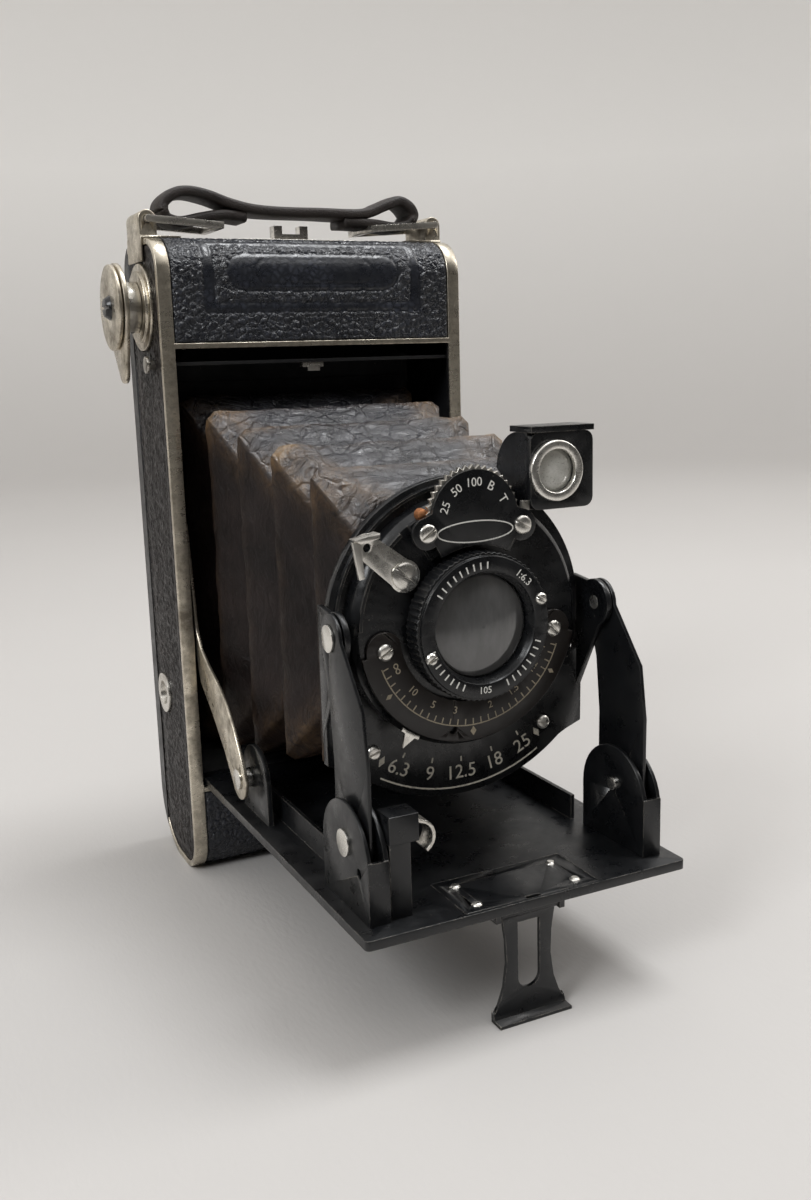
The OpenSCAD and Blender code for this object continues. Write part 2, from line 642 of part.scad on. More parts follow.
module brace_left() color(nickel) mirror([1, 0, 0]) stay();
module brace_right() color(nickel) stay();

// Standard and shutter ---------------------------------------------------------------------------

// Outline of the lens standard (x, z): round above, winged at the sides, a deep lip below
module standard_outline() {
    translate([0, lens_z]) circle(r = standard_r);
    polygon(concat(
        [[30.4, lens_z - 9.5], [30.4, lens_z - 27]],
        [[26.5, lens_z - 28.5]],
        arc(0, lens_z, 38.4, -50, -130, 24),
        [[-26.5, lens_z - 28.5]],
        [[-30.4, lens_z - 27], [-30.4, lens_z - 9.5], [-25, lens_z - 13.5], [25, lens_z - 13.5]]));
}

module standard_plate() color(black) difference() {
    union() {
        along_y(plate_front, plate_y) standard_outline();
        both_sides() along_x(29.3, 30.5) polygon(concat(
            [[plate_y, lens_z - 22], [plate_y, lens_z + 6]],
            arc(top_y, top_z, 5, 60, 250, 12)));
    }
    rod_y(light_r + 3, plate_front - 1, plate_y + 1, 0, lens_z);
    rod_x(rivet_r + 0.05, -50, 50, top_y, top_z);
    box([finder_x0 - 0.4, plate_front - 1, finder_z0 - 0.3], [40, plate_y + 1, 130]);
}

// Tapered bellows, pleated in steps, from the film gate to the standard
bellows_pleats = 5;
bellows_y0 = gate_y - 0.3;
bellows_y1 = plate_y + 0.3;
function bellows_ring(t, out) = let (y = bellows_y0 + (bellows_y1 - bellows_y0) * t,
    hx = 31 - 7 * t + out, hz = 44.6 - 17 * t + out, c = 5.5)
    [for (p = [[hx, hz - c], [hx - c, hz], [-hx + c, hz], [-hx, hz - c],
        [-hx, -hz + c], [-hx + c, -hz], [hx - c, -hz], [hx, -hz + c]]) [p[0], y, lens_z + p[1]]];
bellows_rings = concat(
    [for (i = [0:2 * bellows_pleats]) bellows_ring(i / (2 * bellows_pleats), i % 2 == 0 ? -2.2 : 2.2)],
    [for (i = [2 * bellows_pleats:-1:0]) bellows_ring(i / (2 * bellows_pleats), i % 2 == 0 ? -3.0 : 1.4)]);
module bellows() color(brown) polyhedron(
    points = [for (r = bellows_rings) for (p = r) p],
    faces = [for (i = [0:len(bellows_rings) - 1]) for (k = [0:7]) let (j = (i + 1) % len(bellows_rings))
        [i * 8 + k, i * 8 + (k + 1) % 8, j * 8 + (k + 1) % 8, j * 8 + k]],
    convexity = 12);

module shutter_case() color(black) difference() {
    union() {
        rod_y(case_r, case_front + 1.2, plate_front, 0, lens_z);
        translate([0, case_front + 1.2, lens_z]) rotate([90, 0, 0])
            cylinder(r1 = case_r, r2 = case_r - 1.2, h = 1.2);
        rod_y(13.4, focus_back + 0.1, plate_front, 0, lens_z);
        rod_y(light_r + 2.8, plate_front, plate_y + 3, 0, lens_z);
        along_y(wheel_front + 1.3, case_front) polygon(sector(0, lens_z, 16.4, 25, 57, 123));
    }
    rod_y(light_r, focus_front, plate_y + 4, 0, lens_z);
    rod_y(8, wheel_front - 1, wheel_front + 1.5, 0, speed_z);
    box([finder_x0 - 0.4, wheel_front - 1, finder_z0 - 0.3], [40, plate_y - plate_t + 0.5, 130]);
}

// Five closed shutter leaves inside the case
module shutter_blades() color([0.2, 0.2, 0.22]) for (k = [0:4])
    along_y(plate_front - 1.2, plate_front - 1.0) translate([0, lens_z])
        polygon(concat([[0.02 * cos(72 * k + 36), 0.02 * sin(72 * k + 36)]],
            arc(0, 0, light_r - 0.1, 72 * k + 0.5, 72 * k + 71.5, 8)));

// Toothed wheel that sets the shutter speed, cut away where it would swing into the focusing ring
wheel_teeth = 44;
wheel_swing = 41;
function wheel_cut(r) = let (d = speed_z - lens_z, c = focus_r + 0.9)
    wheel_swing + acos(min(1, (d * d + r * r - c * c) / (2 * d * r)));
module speed_wheel() color(nickel) difference() {
    along_y(wheel_front + 0.1, wheel_front + 1.2) translate([0, speed_z]) polygon(concat(
        [for (i = [0:wheel_teeth]) let (r = i % 2 == 0 ? speed_r + 0.9 : speed_r + 0.1,
            a = 180 * i / wheel_teeth) [r * cos(a), r * sin(a)]],
        [for (k = [0:6]) let (r = 9.6 - 0.7 * k, a = 270 - wheel_cut(r)) [r * cos(a), r * sin(a)]],
        [for (k = [6:-1:0]) let (r = 9.6 - 0.7 * k, a = 270 + wheel_cut(r)) [r * cos(a), r * sin(a)]]));
    rod_y(1.3, wheel_front - 1, wheel_front + 2, 0, speed_z);
}

module speed_plate() color(black) difference() {
    union() {
        along_y(speed_front, wheel_front) {
            translate([0, speed_z]) circle(r = speed_r);
            polygon(sector(0, lens_z, 16.3, 25.2, 62, 118));
            for (s = [-1, 1])
                translate([s * 22.2 * cos(61), lens_z + 22.2 * sin(61)]) circle(r = 3.2);
        }
        rod_y(1.2, speed_front, wheel_front + 1.45, 0, speed_z);
    }
    rod_y(16.2, speed_front - 1, wheel_front + 3, 0, lens_z);
}

// Slotted screws of the shutter, the lip and the cocking lever's pivot
module shutter_screws() color(nickel) {
    for (s = [-1, 1]) {
        slotted_head(s * 22.2 * cos(61), lens_z + 22.2 * sin(61), speed_front, 1.9, s * 35);
        slotted_head(s * 19.6, lens_z - 3.6, scale_front, 1.7, 40 * s + 10);
        slotted_head(s * 20.4, lens_z - 25.8, plate_front, 1.5, 20 * s);
        slotted_head(s * 12.6, lens_z - 4.6 * s * -1, focus_front, 1.25, 30 * s);
    }
    slotted_head(-15.1, lens_z + 11.3, scale_front - 0.75, 2.8, 45);
    rod_y(1, scale_front - 0.8, case_front, -15.1, lens_z + 11.3);
}

// Nickel cocking and release lever, with a folded finger tip and a tongue
module cocking_lever() color(nickel) difference() {
    union() {
        along_y(scale_front - 0.7, scale_front) {
            polygon([[-17.4, lens_z + 9.2], [-24.9, lens_z + 16],
                [-21.8, lens_z + 20], [-13.4, lens_z + 13.8]]);
            translate([-15.1, lens_z + 11.3]) circle(r = 3.3);
            translate([-23.0, lens_z + 17.8]) circle(r = 2.6);
        }
        along_y(scale_front - 3, scale_front) polygon([[-26.4, lens_z + 19.6], [-21.2, lens_z + 20.6],
            [-21.2, lens_z + 19.6], [-25.2, lens_z + 18.8]]);
        along_y(scale_front - 1.4, scale_front - 0.4) polygon([[-26.2, lens_z + 19], [-24.6, lens_z + 18.6],
            [-23.9, lens_z + 11.8], [-25, lens_z + 11.6]]);
    }
    rod_y(1.06, scale_front - 4, scale_front + 1, -15.1, lens_z + 11.3);
    rod_y(0.9, scale_front - 4, scale_front + 1, -22.9, lens_z + 17.6);
}

// Aperture pointer: an arc strip on the case with a triangular finger
module aperture_pointer() color(nickel) along_y(case_front - 0.75, case_front - 0.1) {
    polygon(sector(0, lens_z, 25.3, 26.2, 231, 241, 6));
    translate([0, lens_z]) rotate(236) polygon([[25.6, -1.5], [29, 0], [25.6, 1.5]]);
}

// Crescent distance plate under the focusing ring
module distance_plate() color([0.1, 0.09, 0.085]) difference() {
    along_y(scale_front, case_front) {
        polygon(sector(0, lens_z, 16.3, 25, 191, 349, 40));
        for (s = [-1, 1])
            translate([s * 19.6, lens_z - 3.6]) circle(r = 4);
    }
    rod_y(0.9, scale_front - 1, case_front + 1, -4.6, lens_z - 22);
    rod_y(16.3, scale_front - 1, case_front + 1, 0, lens_z);
}

// Knurled focusing ring that carries the front lens cell
focus_teeth = 72;
module focus_ring() color(black) difference() {
    union() {
        along_y(focus_front + 0.9, focus_back) translate([0, lens_z]) polygon(
            [for (i = [0:2 * focus_teeth - 1]) let (r = i % 2 == 0 ? focus_r : focus_r - 0.3,
                a = 180 * i / focus_teeth) [r * cos(a), r * sin(a)]]);
        rod_y(focus_r - 0.7, focus_front, focus_front + 1, 0, lens_z);
    }
    translate([0, focus_front - 0.01, lens_z]) rotate([-90, 0, 0])
        cylinder(r1 = light_r + 0.9, r2 = light_r + 0.05, h = 1.8);
    rod_y(light_r + 0.05, focus_front - 1, focus_back + 1, 0, lens_z);
    rod_y(13.45, focus_front + 3.4, focus_back + 1, 0, lens_z);
}

// Front lens element: a meniscus of revolution held in the focusing ring
module front_lens() color([0.6, 0.65, 0.75, 0.4]) translate([0, focus_front + 3.4, lens_z])
    rotate([90, 0, 0]) rotate_extrude() polygon(concat(
        [[0, 0], [light_r - 0.05, 0], [light_r - 0.05, 0.6]],
        [for (i = [7:-1:0]) [light_r * i / 8, 0.6 + 1.6 * (1 - pow(i / 8, 2))]]));

// Finder -----------------------------------------------------------------------------------------

module finder_body() color(black) difference() {
    union() {
        along_y(finder_front, finder_front + 2.2)
            polygon(round_box(finder_x0, finder_z0, finder_x1, finder_z1 - 1.6, 2));
        along_x(finder_x0 + 0.4, finder_x1 - 4) polygon(concat(
            [[finder_front + 2, finder_z0], [finder_back, finder_z0]],
            arc(finder_back - 9, finder_z1 - 10.6, 9, 0, 90, 10),
            [[finder_front + 2, finder_z1 - 1.6]]));
        box([finder_x0, finder_front - 0.4, finder_z1 - 1.6],
            [finder_x1, finder_front + 8, finder_z1 - 0.4]);
    }
    rod_y(4.7, finder_front - 1, finder_front + 6, finder_eye_x, finder_eye_z);
    box([finder_x0 + 1.6, finder_front + 3.2, finder_z0 + 1],
        [finder_x1 - 5.2, finder_back - 6, finder_z1 - 4]);
    along_x(0, 40) polygon([[plate_y - 0.4, 80], [plate_y - 0.4, finder_z0 + 4.2],
        [finder_back + 1, finder_z0 + 8.6], [finder_back + 1, 80]]);
}

module finder_ring() color(nickel) difference() {
    rod_y(6.2, finder_front - 1.5, finder_front, finder_eye_x, finder_eye_z);
    rod_y(4.35, finder_front - 3, finder_front + 1, finder_eye_x, finder_eye_z);
}

module finder_lens() color([0.8, 0.82, 0.8, 0.5])
    translate([finder_eye_x, finder_front + 2.6, finder_eye_z]) rotate([90, 0, 0]) rotate_extrude()
        polygon(concat([[0, 0], [4.65, 0], [4.65, 2.2], [4.3, 2.2]],
            [for (i = [7:-1:0]) [4.3 * i / 8, 2.3 + 0.9 * (1 - pow(i / 8, 2))]]));

// Nickel bracket that holds the finder on the shutter case
module finder_bracket() color(nickel) {
    box([finder_x0 - 1.8, wheel_front + 0.1, finder_z0 - 2.2],
        [finder_x0 - 0.5, wheel_front + 1.25, finder_z0 + 2.2]);
    box([finder_x0 - 1.8, wheel_front + 0.1, finder_z0 + 0.2],
        [finder_x0 - 0.05, wheel_front + 1.25, finder_z0 + 2.2]);
}

body_shell();
front_rim();
body_leathers();
gate_frame();
roller_top();
roller_bottom();
takeup_spool();
supply_spool();
spool_pins();
key_escutcheon();
key_shaft();
key_wing();
key_screw();
release_button();
bed_catch();
tripod_bush();
latch_plate();
back_latch();
strap_lugs();
strap_loops();
carry_strap();
back_cover();
back_leather();
hinge_pins();
pressure_plate();
pressure_springs();
red_window();
window_frame();
window_cover();
bed_plate();
bed_leather();
bracket_left();
bracket_right();
bed_rivets();
strut_lock();
lock_leaf();
foot_plate();
foot();
foot_pin();
strut_left();
strut_right();
strut_rivets();
brace_left();
brace_right();
standard_plate();
bellows();
shutter_case();
shutter_blades();
speed_wheel();
speed_plate();
shutter_screws();
cocking_lever();
aperture_pointer();
distance_plate();
focus_ring();
front_lens();
finder_body();
finder_ring();
finder_lens();
finder_bracket();
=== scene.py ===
import math

import bmesh
import bpy
from mathutils import Matrix, Vector, noise


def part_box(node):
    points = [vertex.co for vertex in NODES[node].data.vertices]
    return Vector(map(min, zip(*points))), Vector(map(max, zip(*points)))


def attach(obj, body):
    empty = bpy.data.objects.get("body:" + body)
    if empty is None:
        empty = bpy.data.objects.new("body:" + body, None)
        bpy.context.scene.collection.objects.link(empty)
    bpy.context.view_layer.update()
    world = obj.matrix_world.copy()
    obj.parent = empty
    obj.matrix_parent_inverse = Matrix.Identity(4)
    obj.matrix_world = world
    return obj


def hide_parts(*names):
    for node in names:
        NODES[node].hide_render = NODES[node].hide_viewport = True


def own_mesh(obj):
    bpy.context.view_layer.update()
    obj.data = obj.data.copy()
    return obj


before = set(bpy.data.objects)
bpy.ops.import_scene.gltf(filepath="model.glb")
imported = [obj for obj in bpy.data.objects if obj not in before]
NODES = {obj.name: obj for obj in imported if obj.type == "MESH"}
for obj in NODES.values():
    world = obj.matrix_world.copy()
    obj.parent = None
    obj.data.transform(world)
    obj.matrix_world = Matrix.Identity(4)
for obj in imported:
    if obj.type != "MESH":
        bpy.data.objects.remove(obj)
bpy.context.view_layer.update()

MM = 0.001


# Places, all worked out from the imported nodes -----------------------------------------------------

def low(node):
    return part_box(node)[0]


def high(node):
    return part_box(node)[1]


def middle(node):
    return (low(node) + high(node)) / 2


FRONT_Y = low("front_rim").y
BACK_Y = high("back_cover").y
HALF_W = high("front_rim").x
TOP_Z = high("front_rim").z
LENS = middle("focus_ring")
SPEED_Z = LENS.z + 21.5 * MM
GATE_Y = high("bellows").y
PLATE_Y = low("bellows").y
PLATE_FRONT = PLATE_Y - 2.3 * MM
SKIN = 0.6 * MM

# The body's side outline: the radii of its corners, and the centre of the large curve at the back's foot.
FRONT_CORNER = 9 * MM
BACK_TOP_CORNER = 8 * MM
BACK_FOOT_CORNER = 16 * MM
BACK_FOOT_Y = -0.5 * MM


# Node helper --------------------------------------------------------------------------------------

class Graph:
    """A short way to write a node material."""

    def __init__(self, name):
        self.mat = bpy.data.materials.new(name)
        self.mat.use_nodes = True
        self.tree = self.mat.node_tree
        self.tree.nodes.clear()
        self.out = self.add("ShaderNodeOutputMaterial")
        self.bsdf = self.add("ShaderNodeBsdfPrincipled")
        self.link(self.bsdf.outputs[0], self.out.inputs[0])

    def add(self, kind, **settings):
        node = self.tree.nodes.new(kind)
        for key, value in settings.items():
            setattr(node, key, value)
        return node

    def link(self, a, b):
        self.tree.links.new(a, b)

    def coords(self, scale=(1, 1, 1)):
        geo = self.add("ShaderNodeTexCoord")
        mapping = self.add("ShaderNodeMapping")
        mapping.inputs["Scale"].default_value = scale
        self.link(geo.outputs["Object"], mapping.inputs["Vector"])
        return mapping.outputs[0]

    def noise(self, scale, detail=4, rough=0.55, stretch=(1, 1, 1), distortion=0.0):
        tex = self.add("ShaderNodeTexNoise")
        tex.inputs["Scale"].default_value = scale
        tex.inputs["Detail"].default_value = detail
        tex.inputs["Roughness"].default_value = rough
        tex.inputs["Distortion"].default_value = distortion
        self.link(self.coords(stretch), tex.inputs["Vector"])
        return tex.outputs["Fac"]

    def cells(self, scale, warp=0.35):
        """Distance to the nearest edge of warped cells."""
        tex = self.add("ShaderNodeTexVoronoi", feature="DISTANCE_TO_EDGE")
        tex.inputs["Scale"].default_value = scale
        soft = self.add("ShaderNodeTexNoise")
        soft.inputs["Scale"].default_value = scale * 0.8
        base = self.coords()
        self.link(base, soft.inputs["Vector"])
        offset = self.math_vector("SCALE", soft.outputs["Color"], warp / scale)
        self.link(self.math_vector("ADD", base, offset), tex.inputs["Vector"])
        return tex.outputs["Distance"]

    def math_vector(self, operation, a, b):
        node = self.add("ShaderNodeVectorMath", operation=operation)
        self.link(a, node.inputs[0])
        if operation == "SCALE":
            node.inputs["Scale"].default_value = b
        else:
            self.link(b, node.inputs[1])
        return node.outputs[0]

    def math(self, operation, a, b=0.0):
        node = self.add("ShaderNodeMath", operation=operation)
        for socket, value in zip(node.inputs, (a, b)):
            if isinstance(value, (int, float)):
                socket.default_value = value
            else:
                self.link(value, socket)
        return node.outputs[0]

    def ramp(self, fac, start, end, a=0.0, b=1.0):
        node = self.add("ShaderNodeMapRange")
        self.link(fac, node.inputs["Value"])
        for name, value in (("From Min", start), ("From Max", end), ("To Min", a), ("To Max", b)):
            node.inputs[name].default_value = value
        return node.outputs[0]

    def mix(self, fac, a, b):
        node = self.add("ShaderNodeMix", data_type="RGBA")
        self.link(fac, node.inputs[0])
        for socket, value in ((node.inputs[6], a), (node.inputs[7], b)):
            if isinstance(value, tuple):
                socket.default_value = (*value, 1)
            else:
                self.link(value, socket)
        return node.outputs[2]

    def bump(self, height, distance, strength=1.0, normal=None):
        node = self.add("ShaderNodeBump")
        node.inputs["Distance"].default_value = distance
        node.inputs["Strength"].default_value = strength
        self.link(height, node.inputs["Height"])
        if normal is not None:
            self.link(normal, node.inputs["Normal"])
        return node.outputs[0]

    def edges(self, radius, start=0.02, end=0.25):
        """1 along convex and concave edges, 0 on flats."""
        soft = self.add("ShaderNodeBevel", samples=6)
        soft.inputs["Radius"].default_value = radius
        geo = self.add("ShaderNodeNewGeometry")
        dot = self.add("ShaderNodeVectorMath", operation="DOT_PRODUCT")
        self.link(soft.outputs[0], dot.inputs[0])
        self.link(geo.outputs["Normal"], dot.inputs[1])
        return self.ramp(self.math("SUBTRACT", 1.0, dot.outputs["Value"]), start, end)

    def attribute(self, name):
        return self.add("ShaderNodeAttribute", attribute_name=name).outputs["Fac"]

    def times(self, a, b):
        return self.math("MULTIPLY", a, b)

    def set(self, **values):
        """Sets or links the shader's sockets, named with _ for a space, and returns the material."""
        for key, value in values.items():
            socket = self.bsdf.inputs[key.replace("_", " ")]
            if isinstance(value, bpy.types.NodeSocket):
                self.link(value, socket)
            else:
                socket.default_value = value
        return self.mat


# Materials ----------------------------------------------------------------------------------------

BARE_METAL = (0.50, 0.46, 0.40)


def enamel(name, base=(0.0046, 0.0050, 0.0058), rough=0.26, wear=0.5):
    """Black stove enamel: dust, fine scratches, chips and rubbed edges."""
    g = Graph(name)
    dust = g.ramp(g.noise(90, 5, 0.6), 0.45, 0.75)
    colour = g.mix(g.times(dust, 0.3), base, tuple(c * 2.0 + 0.006 for c in base))
    chips = g.ramp(g.noise(900, 3, 0.7), 0.70, 0.74)
    spots = g.times(chips, g.ramp(g.noise(120, 2), 0.52, 0.62))
    rub = g.times(g.edges(0.3 * MM), g.ramp(g.noise(420, 5, 0.7), 0.42, 0.56))
    worn = g.math("MAXIMUM", g.times(spots, 0.5), g.times(rub, wear))
    roughness = g.math("ADD", g.ramp(g.noise(260, 6, 0.65), 0.3, 0.75, rough - 0.1, rough + 0.14),
                       g.times(dust, 0.12))
    scratches = g.noise(700, 4, 0.6, (1, 0.06, 0.25))
    peel = g.bump(g.noise(1500, 2), 0.01 * MM, 0.6)
    return g.set(Base_Color=g.mix(worn, colour, BARE_METAL), Roughness=roughness,
                 Metallic=g.times(worn, 0.8), Specular_IOR_Level=0.5,
                 Normal=g.bump(scratches, 0.008 * MM, 0.5, peel))


def nickel(name, base=(0.68, 0.655, 0.60), dark=(0.22, 0.18, 0.135), tarnish=0.45, rough=0.27):
    """Old nickel plate: cloudy tarnish, dark specks and hairline scratches."""
    g = Graph(name)
    cloud = g.ramp(g.noise(150, 6, 0.7), 0.42, 0.68)
    specks = g.ramp(g.noise(1100, 4, 0.75), 0.60, 0.68)
    both = g.math("MAXIMUM", g.times(cloud, tarnish), g.times(specks, tarnish * 1.2))
    hair = g.noise(900, 5, 0.6, (0.1, 1, 1))
    return g.set(Base_Color=g.mix(both, base, dark), Metallic=0.95,
                 Roughness=g.math("ADD", g.ramp(cloud, 0, 1, rough - 0.06, rough + 0.2),
                                  g.ramp(hair, 0.3, 0.7, -0.04, 0.06)),
                 Normal=g.bump(hair, 0.01 * MM, 0.6, g.bump(specks, 0.02 * MM, 0.4)))


def steel(name, base=(0.5, 0.5, 0.5), rough=0.28):
    """Turned or rolled steel with a fine grain along X."""
    g = Graph(name)
    grain = g.noise(1400, 4, 0.6, (0.04, 1, 1))
    return g.set(Base_Color=g.mix(g.noise(200), base, tuple(c * 0.75 for c in base)), Metallic=1.0,
                 Roughness=g.ramp(grain, 0.3, 0.7, rough - 0.06, rough + 0.1),
                 Normal=g.bump(grain, 0.01 * MM, 0.6))


def leather(name, base, worn, grain=620, depth=0.20 * MM, rough=0.30, gloss=0.6):
    """Pebbled leather cloth: raised cells with fine creases, rubbed lighter on their tops."""
    g = Graph(name)
    cell = g.cells(grain)
    fine = g.cells(grain * 2.4, warp=0.6)
    pebble = g.ramp(cell, 0.0, 0.32)
    height = g.math("ADD", pebble, g.times(g.ramp(fine, 0, 0.3), 0.3))
    patch = g.ramp(g.noise(70, 5, 0.6), 0.40, 0.70)
    colour = g.mix(g.times(g.times(pebble, patch), 0.5), base, worn)
    edge_wear = tuple(c * 2.6 + 0.03 for c in worn)
    rubbed = g.times(g.attribute("rub"), g.ramp(g.noise(500, 5, 0.7), 0.4, 0.6))
    flat = g.math("SUBTRACT", 1.0, g.times(g.attribute("smooth"), 0.85))
    return g.set(Base_Color=g.mix(rubbed, colour, edge_wear), Specular_IOR_Level=gloss,
                 Roughness=g.ramp(g.noise(300, 5), 0.3, 0.7, rough - 0.12, rough + 0.1),
                 Normal=g.bump(g.times(height, flat), depth))


def bellows_skin(name):
    """Thin brown bellows leather: creased, shiny on top with a painted sheen (a lighter bluish grey colour
    on the upper sides), rubbed golden along the folds.
    """
    g = Graph(name)
    fold = g.attribute("fold")
    sheen = g.attribute("upper")
    ragged = g.times(fold, g.ramp(g.noise(340, 8, 0.8, distortion=1.4), 0.36, 0.58))
    cloudy = g.ramp(g.noise(75, 6, 0.6), 0.35, 0.7)
    brown = g.mix(cloudy, (0.0065, 0.0038, 0.0029), (0.018, 0.010, 0.0070))
    # The upper sides are coloured bluish grey instead of brown: a painted sheen, standing in for the bright
    # room reflected on the glossy top.
    painted_sheen_grey = g.mix(cloudy, (0.013, 0.0135, 0.017), (0.046, 0.047, 0.057))
    colour = g.mix(sheen, brown, painted_sheen_grey)
    colour = g.mix(g.times(ragged, 0.9), colour, (0.24, 0.145, 0.068))
    colour = g.mix(g.times(g.ramp(fold, 0.75, 1.0), 0.35), colour, (0.30, 0.21, 0.12))
    crease = g.cells(170, warp=1.6)
    wrinkle = g.noise(300, 7, 0.62, (0.55, 1.3, 0.6), 1.3)
    blocky = g.times(g.ramp(crease, 0, 0.12), g.ramp(sheen, 0.2, 0.8, 0.05, 0.26))
    height = g.times(g.math("ADD", blocky, wrinkle), g.ramp(sheen, 0.2, 0.8, 0.5, 1.0))
    matt = g.ramp(wrinkle, 0.3, 0.75, 0.40, 0.52)
    return g.set(Base_Color=colour, Roughness=g.math("SUBTRACT", matt, g.times(sheen, 0.19)),
                 Normal=g.bump(height, 1.15 * MM),
                 Specular_IOR_Level=g.ramp(sheen, 0.1, 0.85, 0.16, 1.0))


def strap_skin(name):
    """Dry dark strap leather with a fine grain and scuffed edges."""
    g = Graph(name)
    grain = g.cells(1500, warp=0.8)
    crack = g.noise(240, 8, 0.7, (0.25, 1, 1))
    scuff = g.times(g.edges(0.5 * MM, 0.03, 0.3), g.ramp(g.noise(500, 5), 0.45, 0.6))
    colour = g.mix(g.ramp(crack, 0.35, 0.7), (0.010, 0.007, 0.0058), (0.031, 0.021, 0.0165))
    return g.set(Base_Color=g.mix(g.times(scuff, 0.6), colour, (0.11, 0.08, 0.06)),
                 Roughness=g.ramp(crack, 0.3, 0.7, 0.5, 0.72),
                 Normal=g.bump(g.math("ADD", g.ramp(grain, 0, 0.3), crack), 0.06 * MM))


def clear_glass(name):
    """A lens coloured a flat grey as a painted reflection, lighter in blotches."""
    g = Graph(name)
    # Painted reflection: the grey base colour stands in for the soft grey that the glass shows by reflecting
    # the room.
    painted_reflection_grey = (0.10, 0.099, 0.098)
    lighter_blotches = g.ramp(g.noise(110, 5, 0.6, (1, 1, 0.35)), 0.42, 0.7)
    return g.set(Base_Color=g.mix(lighter_blotches, painted_reflection_grey, tuple(c * 2.0 for c in painted_reflection_grey)), Roughness=0.12,
                 Transmission_Weight=0.25, IOR=1.52, Coat_Weight=1.0, Coat_Roughness=0.02)


def dusty_glass(name):
    """The finder's milky, speckled front glass."""
    g = Graph(name)
    speck = g.ramp(g.noise(2600, 3, 0.8), 0.56, 0.66)
    stain = g.ramp(g.noise(380, 6, 0.7), 0.4, 0.7)
    colour = g.mix(stain, (0.58, 0.57, 0.52), (0.74, 0.73, 0.68))
    return g.set(Base_Color=g.mix(g.times(speck, 0.75), colour, (0.25, 0.23, 0.2)),
                 Roughness=0.22, Transmission_Weight=0.15, IOR=1.5, Coat_Weight=0.8, Coat_Roughness=0.05)


def ruby(name):
    """The red window in the back."""
    g = Graph(name)
    return g.set(Base_Color=g.mix(g.noise(300), (0.30, 0.006, 0.006), (0.42, 0.012, 0.01)),
                 Roughness=0.12, Transmission_Weight=0.3, Coat_Weight=0.6, Coat_Roughness=0.05)


def cream_paint(name, base=(0.72, 0.68, 0.58), worn=0.5):
    """Paint filled into an engraving, rubbed thin in places."""
    g = Graph(name)
    gone = g.times(g.ramp(g.noise(1500, 5, 0.7), 0.52, 0.66), worn)
    return g.set(Base_Color=g.mix(gone, base, (0.08, 0.07, 0.06)), Roughness=0.55,
                 Normal=g.bump(g.noise(2500), 0.01 * MM, 0.6))


def pale_cloth(name):
    """The floor: pale and matt with a faint weave, lighter up the wall (Z).

    From 0.24 m in front (Y) it darkens to 0.46 m: painted shade, standing in for a dark room that the enamel
    mirrors.
    """
    g = Graph(name)
    broad = g.noise(3, 3, 0.5)
    weave = g.noise(900, 2, 0.5, (1, 0.35, 1))
    place = g.add("ShaderNodeSeparateXYZ")
    g.link(g.add("ShaderNodeTexCoord").outputs["Object"], place.inputs[0])
    pale = g.mix(broad, (0.50, 0.483, 0.466), (0.53, 0.512, 0.495))
    pale = g.mix(g.ramp(place.outputs["Z"], 0.0, 0.45), pale, (0.86, 0.845, 0.82))
    # Painted shade: the floor in front goes dark in place of the unlit room.
    room = g.ramp(place.outputs["Y"], -0.46, -0.24)
    return g.set(Base_Color=g.mix(room, (0.075, 0.072, 0.069), pale), Roughness=0.9,
                 Normal=g.bump(weave, 0.12 * MM, 0.5), Specular_IOR_Level=0.2)


BLACK = enamel("black_enamel")
BLACK_WORN = enamel("worn_black_enamel", rough=0.3, wear=0.95)
BODY_BLACK = enamel("body_enamel", (0.006, 0.006, 0.007), 0.42, 0.6)
CAST_BLACK = enamel("cast_enamel", (0.008, 0.008, 0.009), 0.62, 0.15)
BROWN_ENAMEL = enamel("rubbed_enamel", (0.014, 0.011, 0.0095), 0.36, 0.4)
BLUED = steel("blued_steel", (0.10, 0.10, 0.115), 0.42)
NICKEL = nickel("nickel")
NICKEL_WORN = nickel("tarnished_nickel", (0.68, 0.62, 0.51), (0.10, 0.078, 0.055), 0.75, 0.31)
NICKEL_BRIGHT = nickel("bright_nickel", (0.78, 0.76, 0.71), (0.40, 0.36, 0.30), 0.3, 0.24)
STEEL = steel("steel")
SPRING = steel("spring_steel", (0.36, 0.37, 0.40), 0.34)
LEATHER = leather("pebbled_leather", (0.012, 0.0135, 0.018), (0.085, 0.092, 0.118))
SIDE_LEATHER = leather("side_leather", (0.0085, 0.0066, 0.0062), (0.046, 0.035, 0.031),
                       grain=700, depth=0.14 * MM, rough=0.42, gloss=0.3)
BELLOWS = bellows_skin("bellows_leather")
STRAP = strap_skin("strap_leather")
GLASS = clear_glass("lens_glass")
FINDER_GLASS = dusty_glass("finder_glass")
RUBY = ruby("ruby_glass")
CREAM = cream_paint("cream_paint")
WHITE = cream_paint("white_paint", (0.78, 0.77, 0.72), 0.25)
OCHRE = cream_paint("faded_paint", (0.42, 0.36, 0.26), 0.6)
COPPER = nickel("copper", (0.62, 0.27, 0.12), (0.22, 0.10, 0.05), 0.4, 0.35)

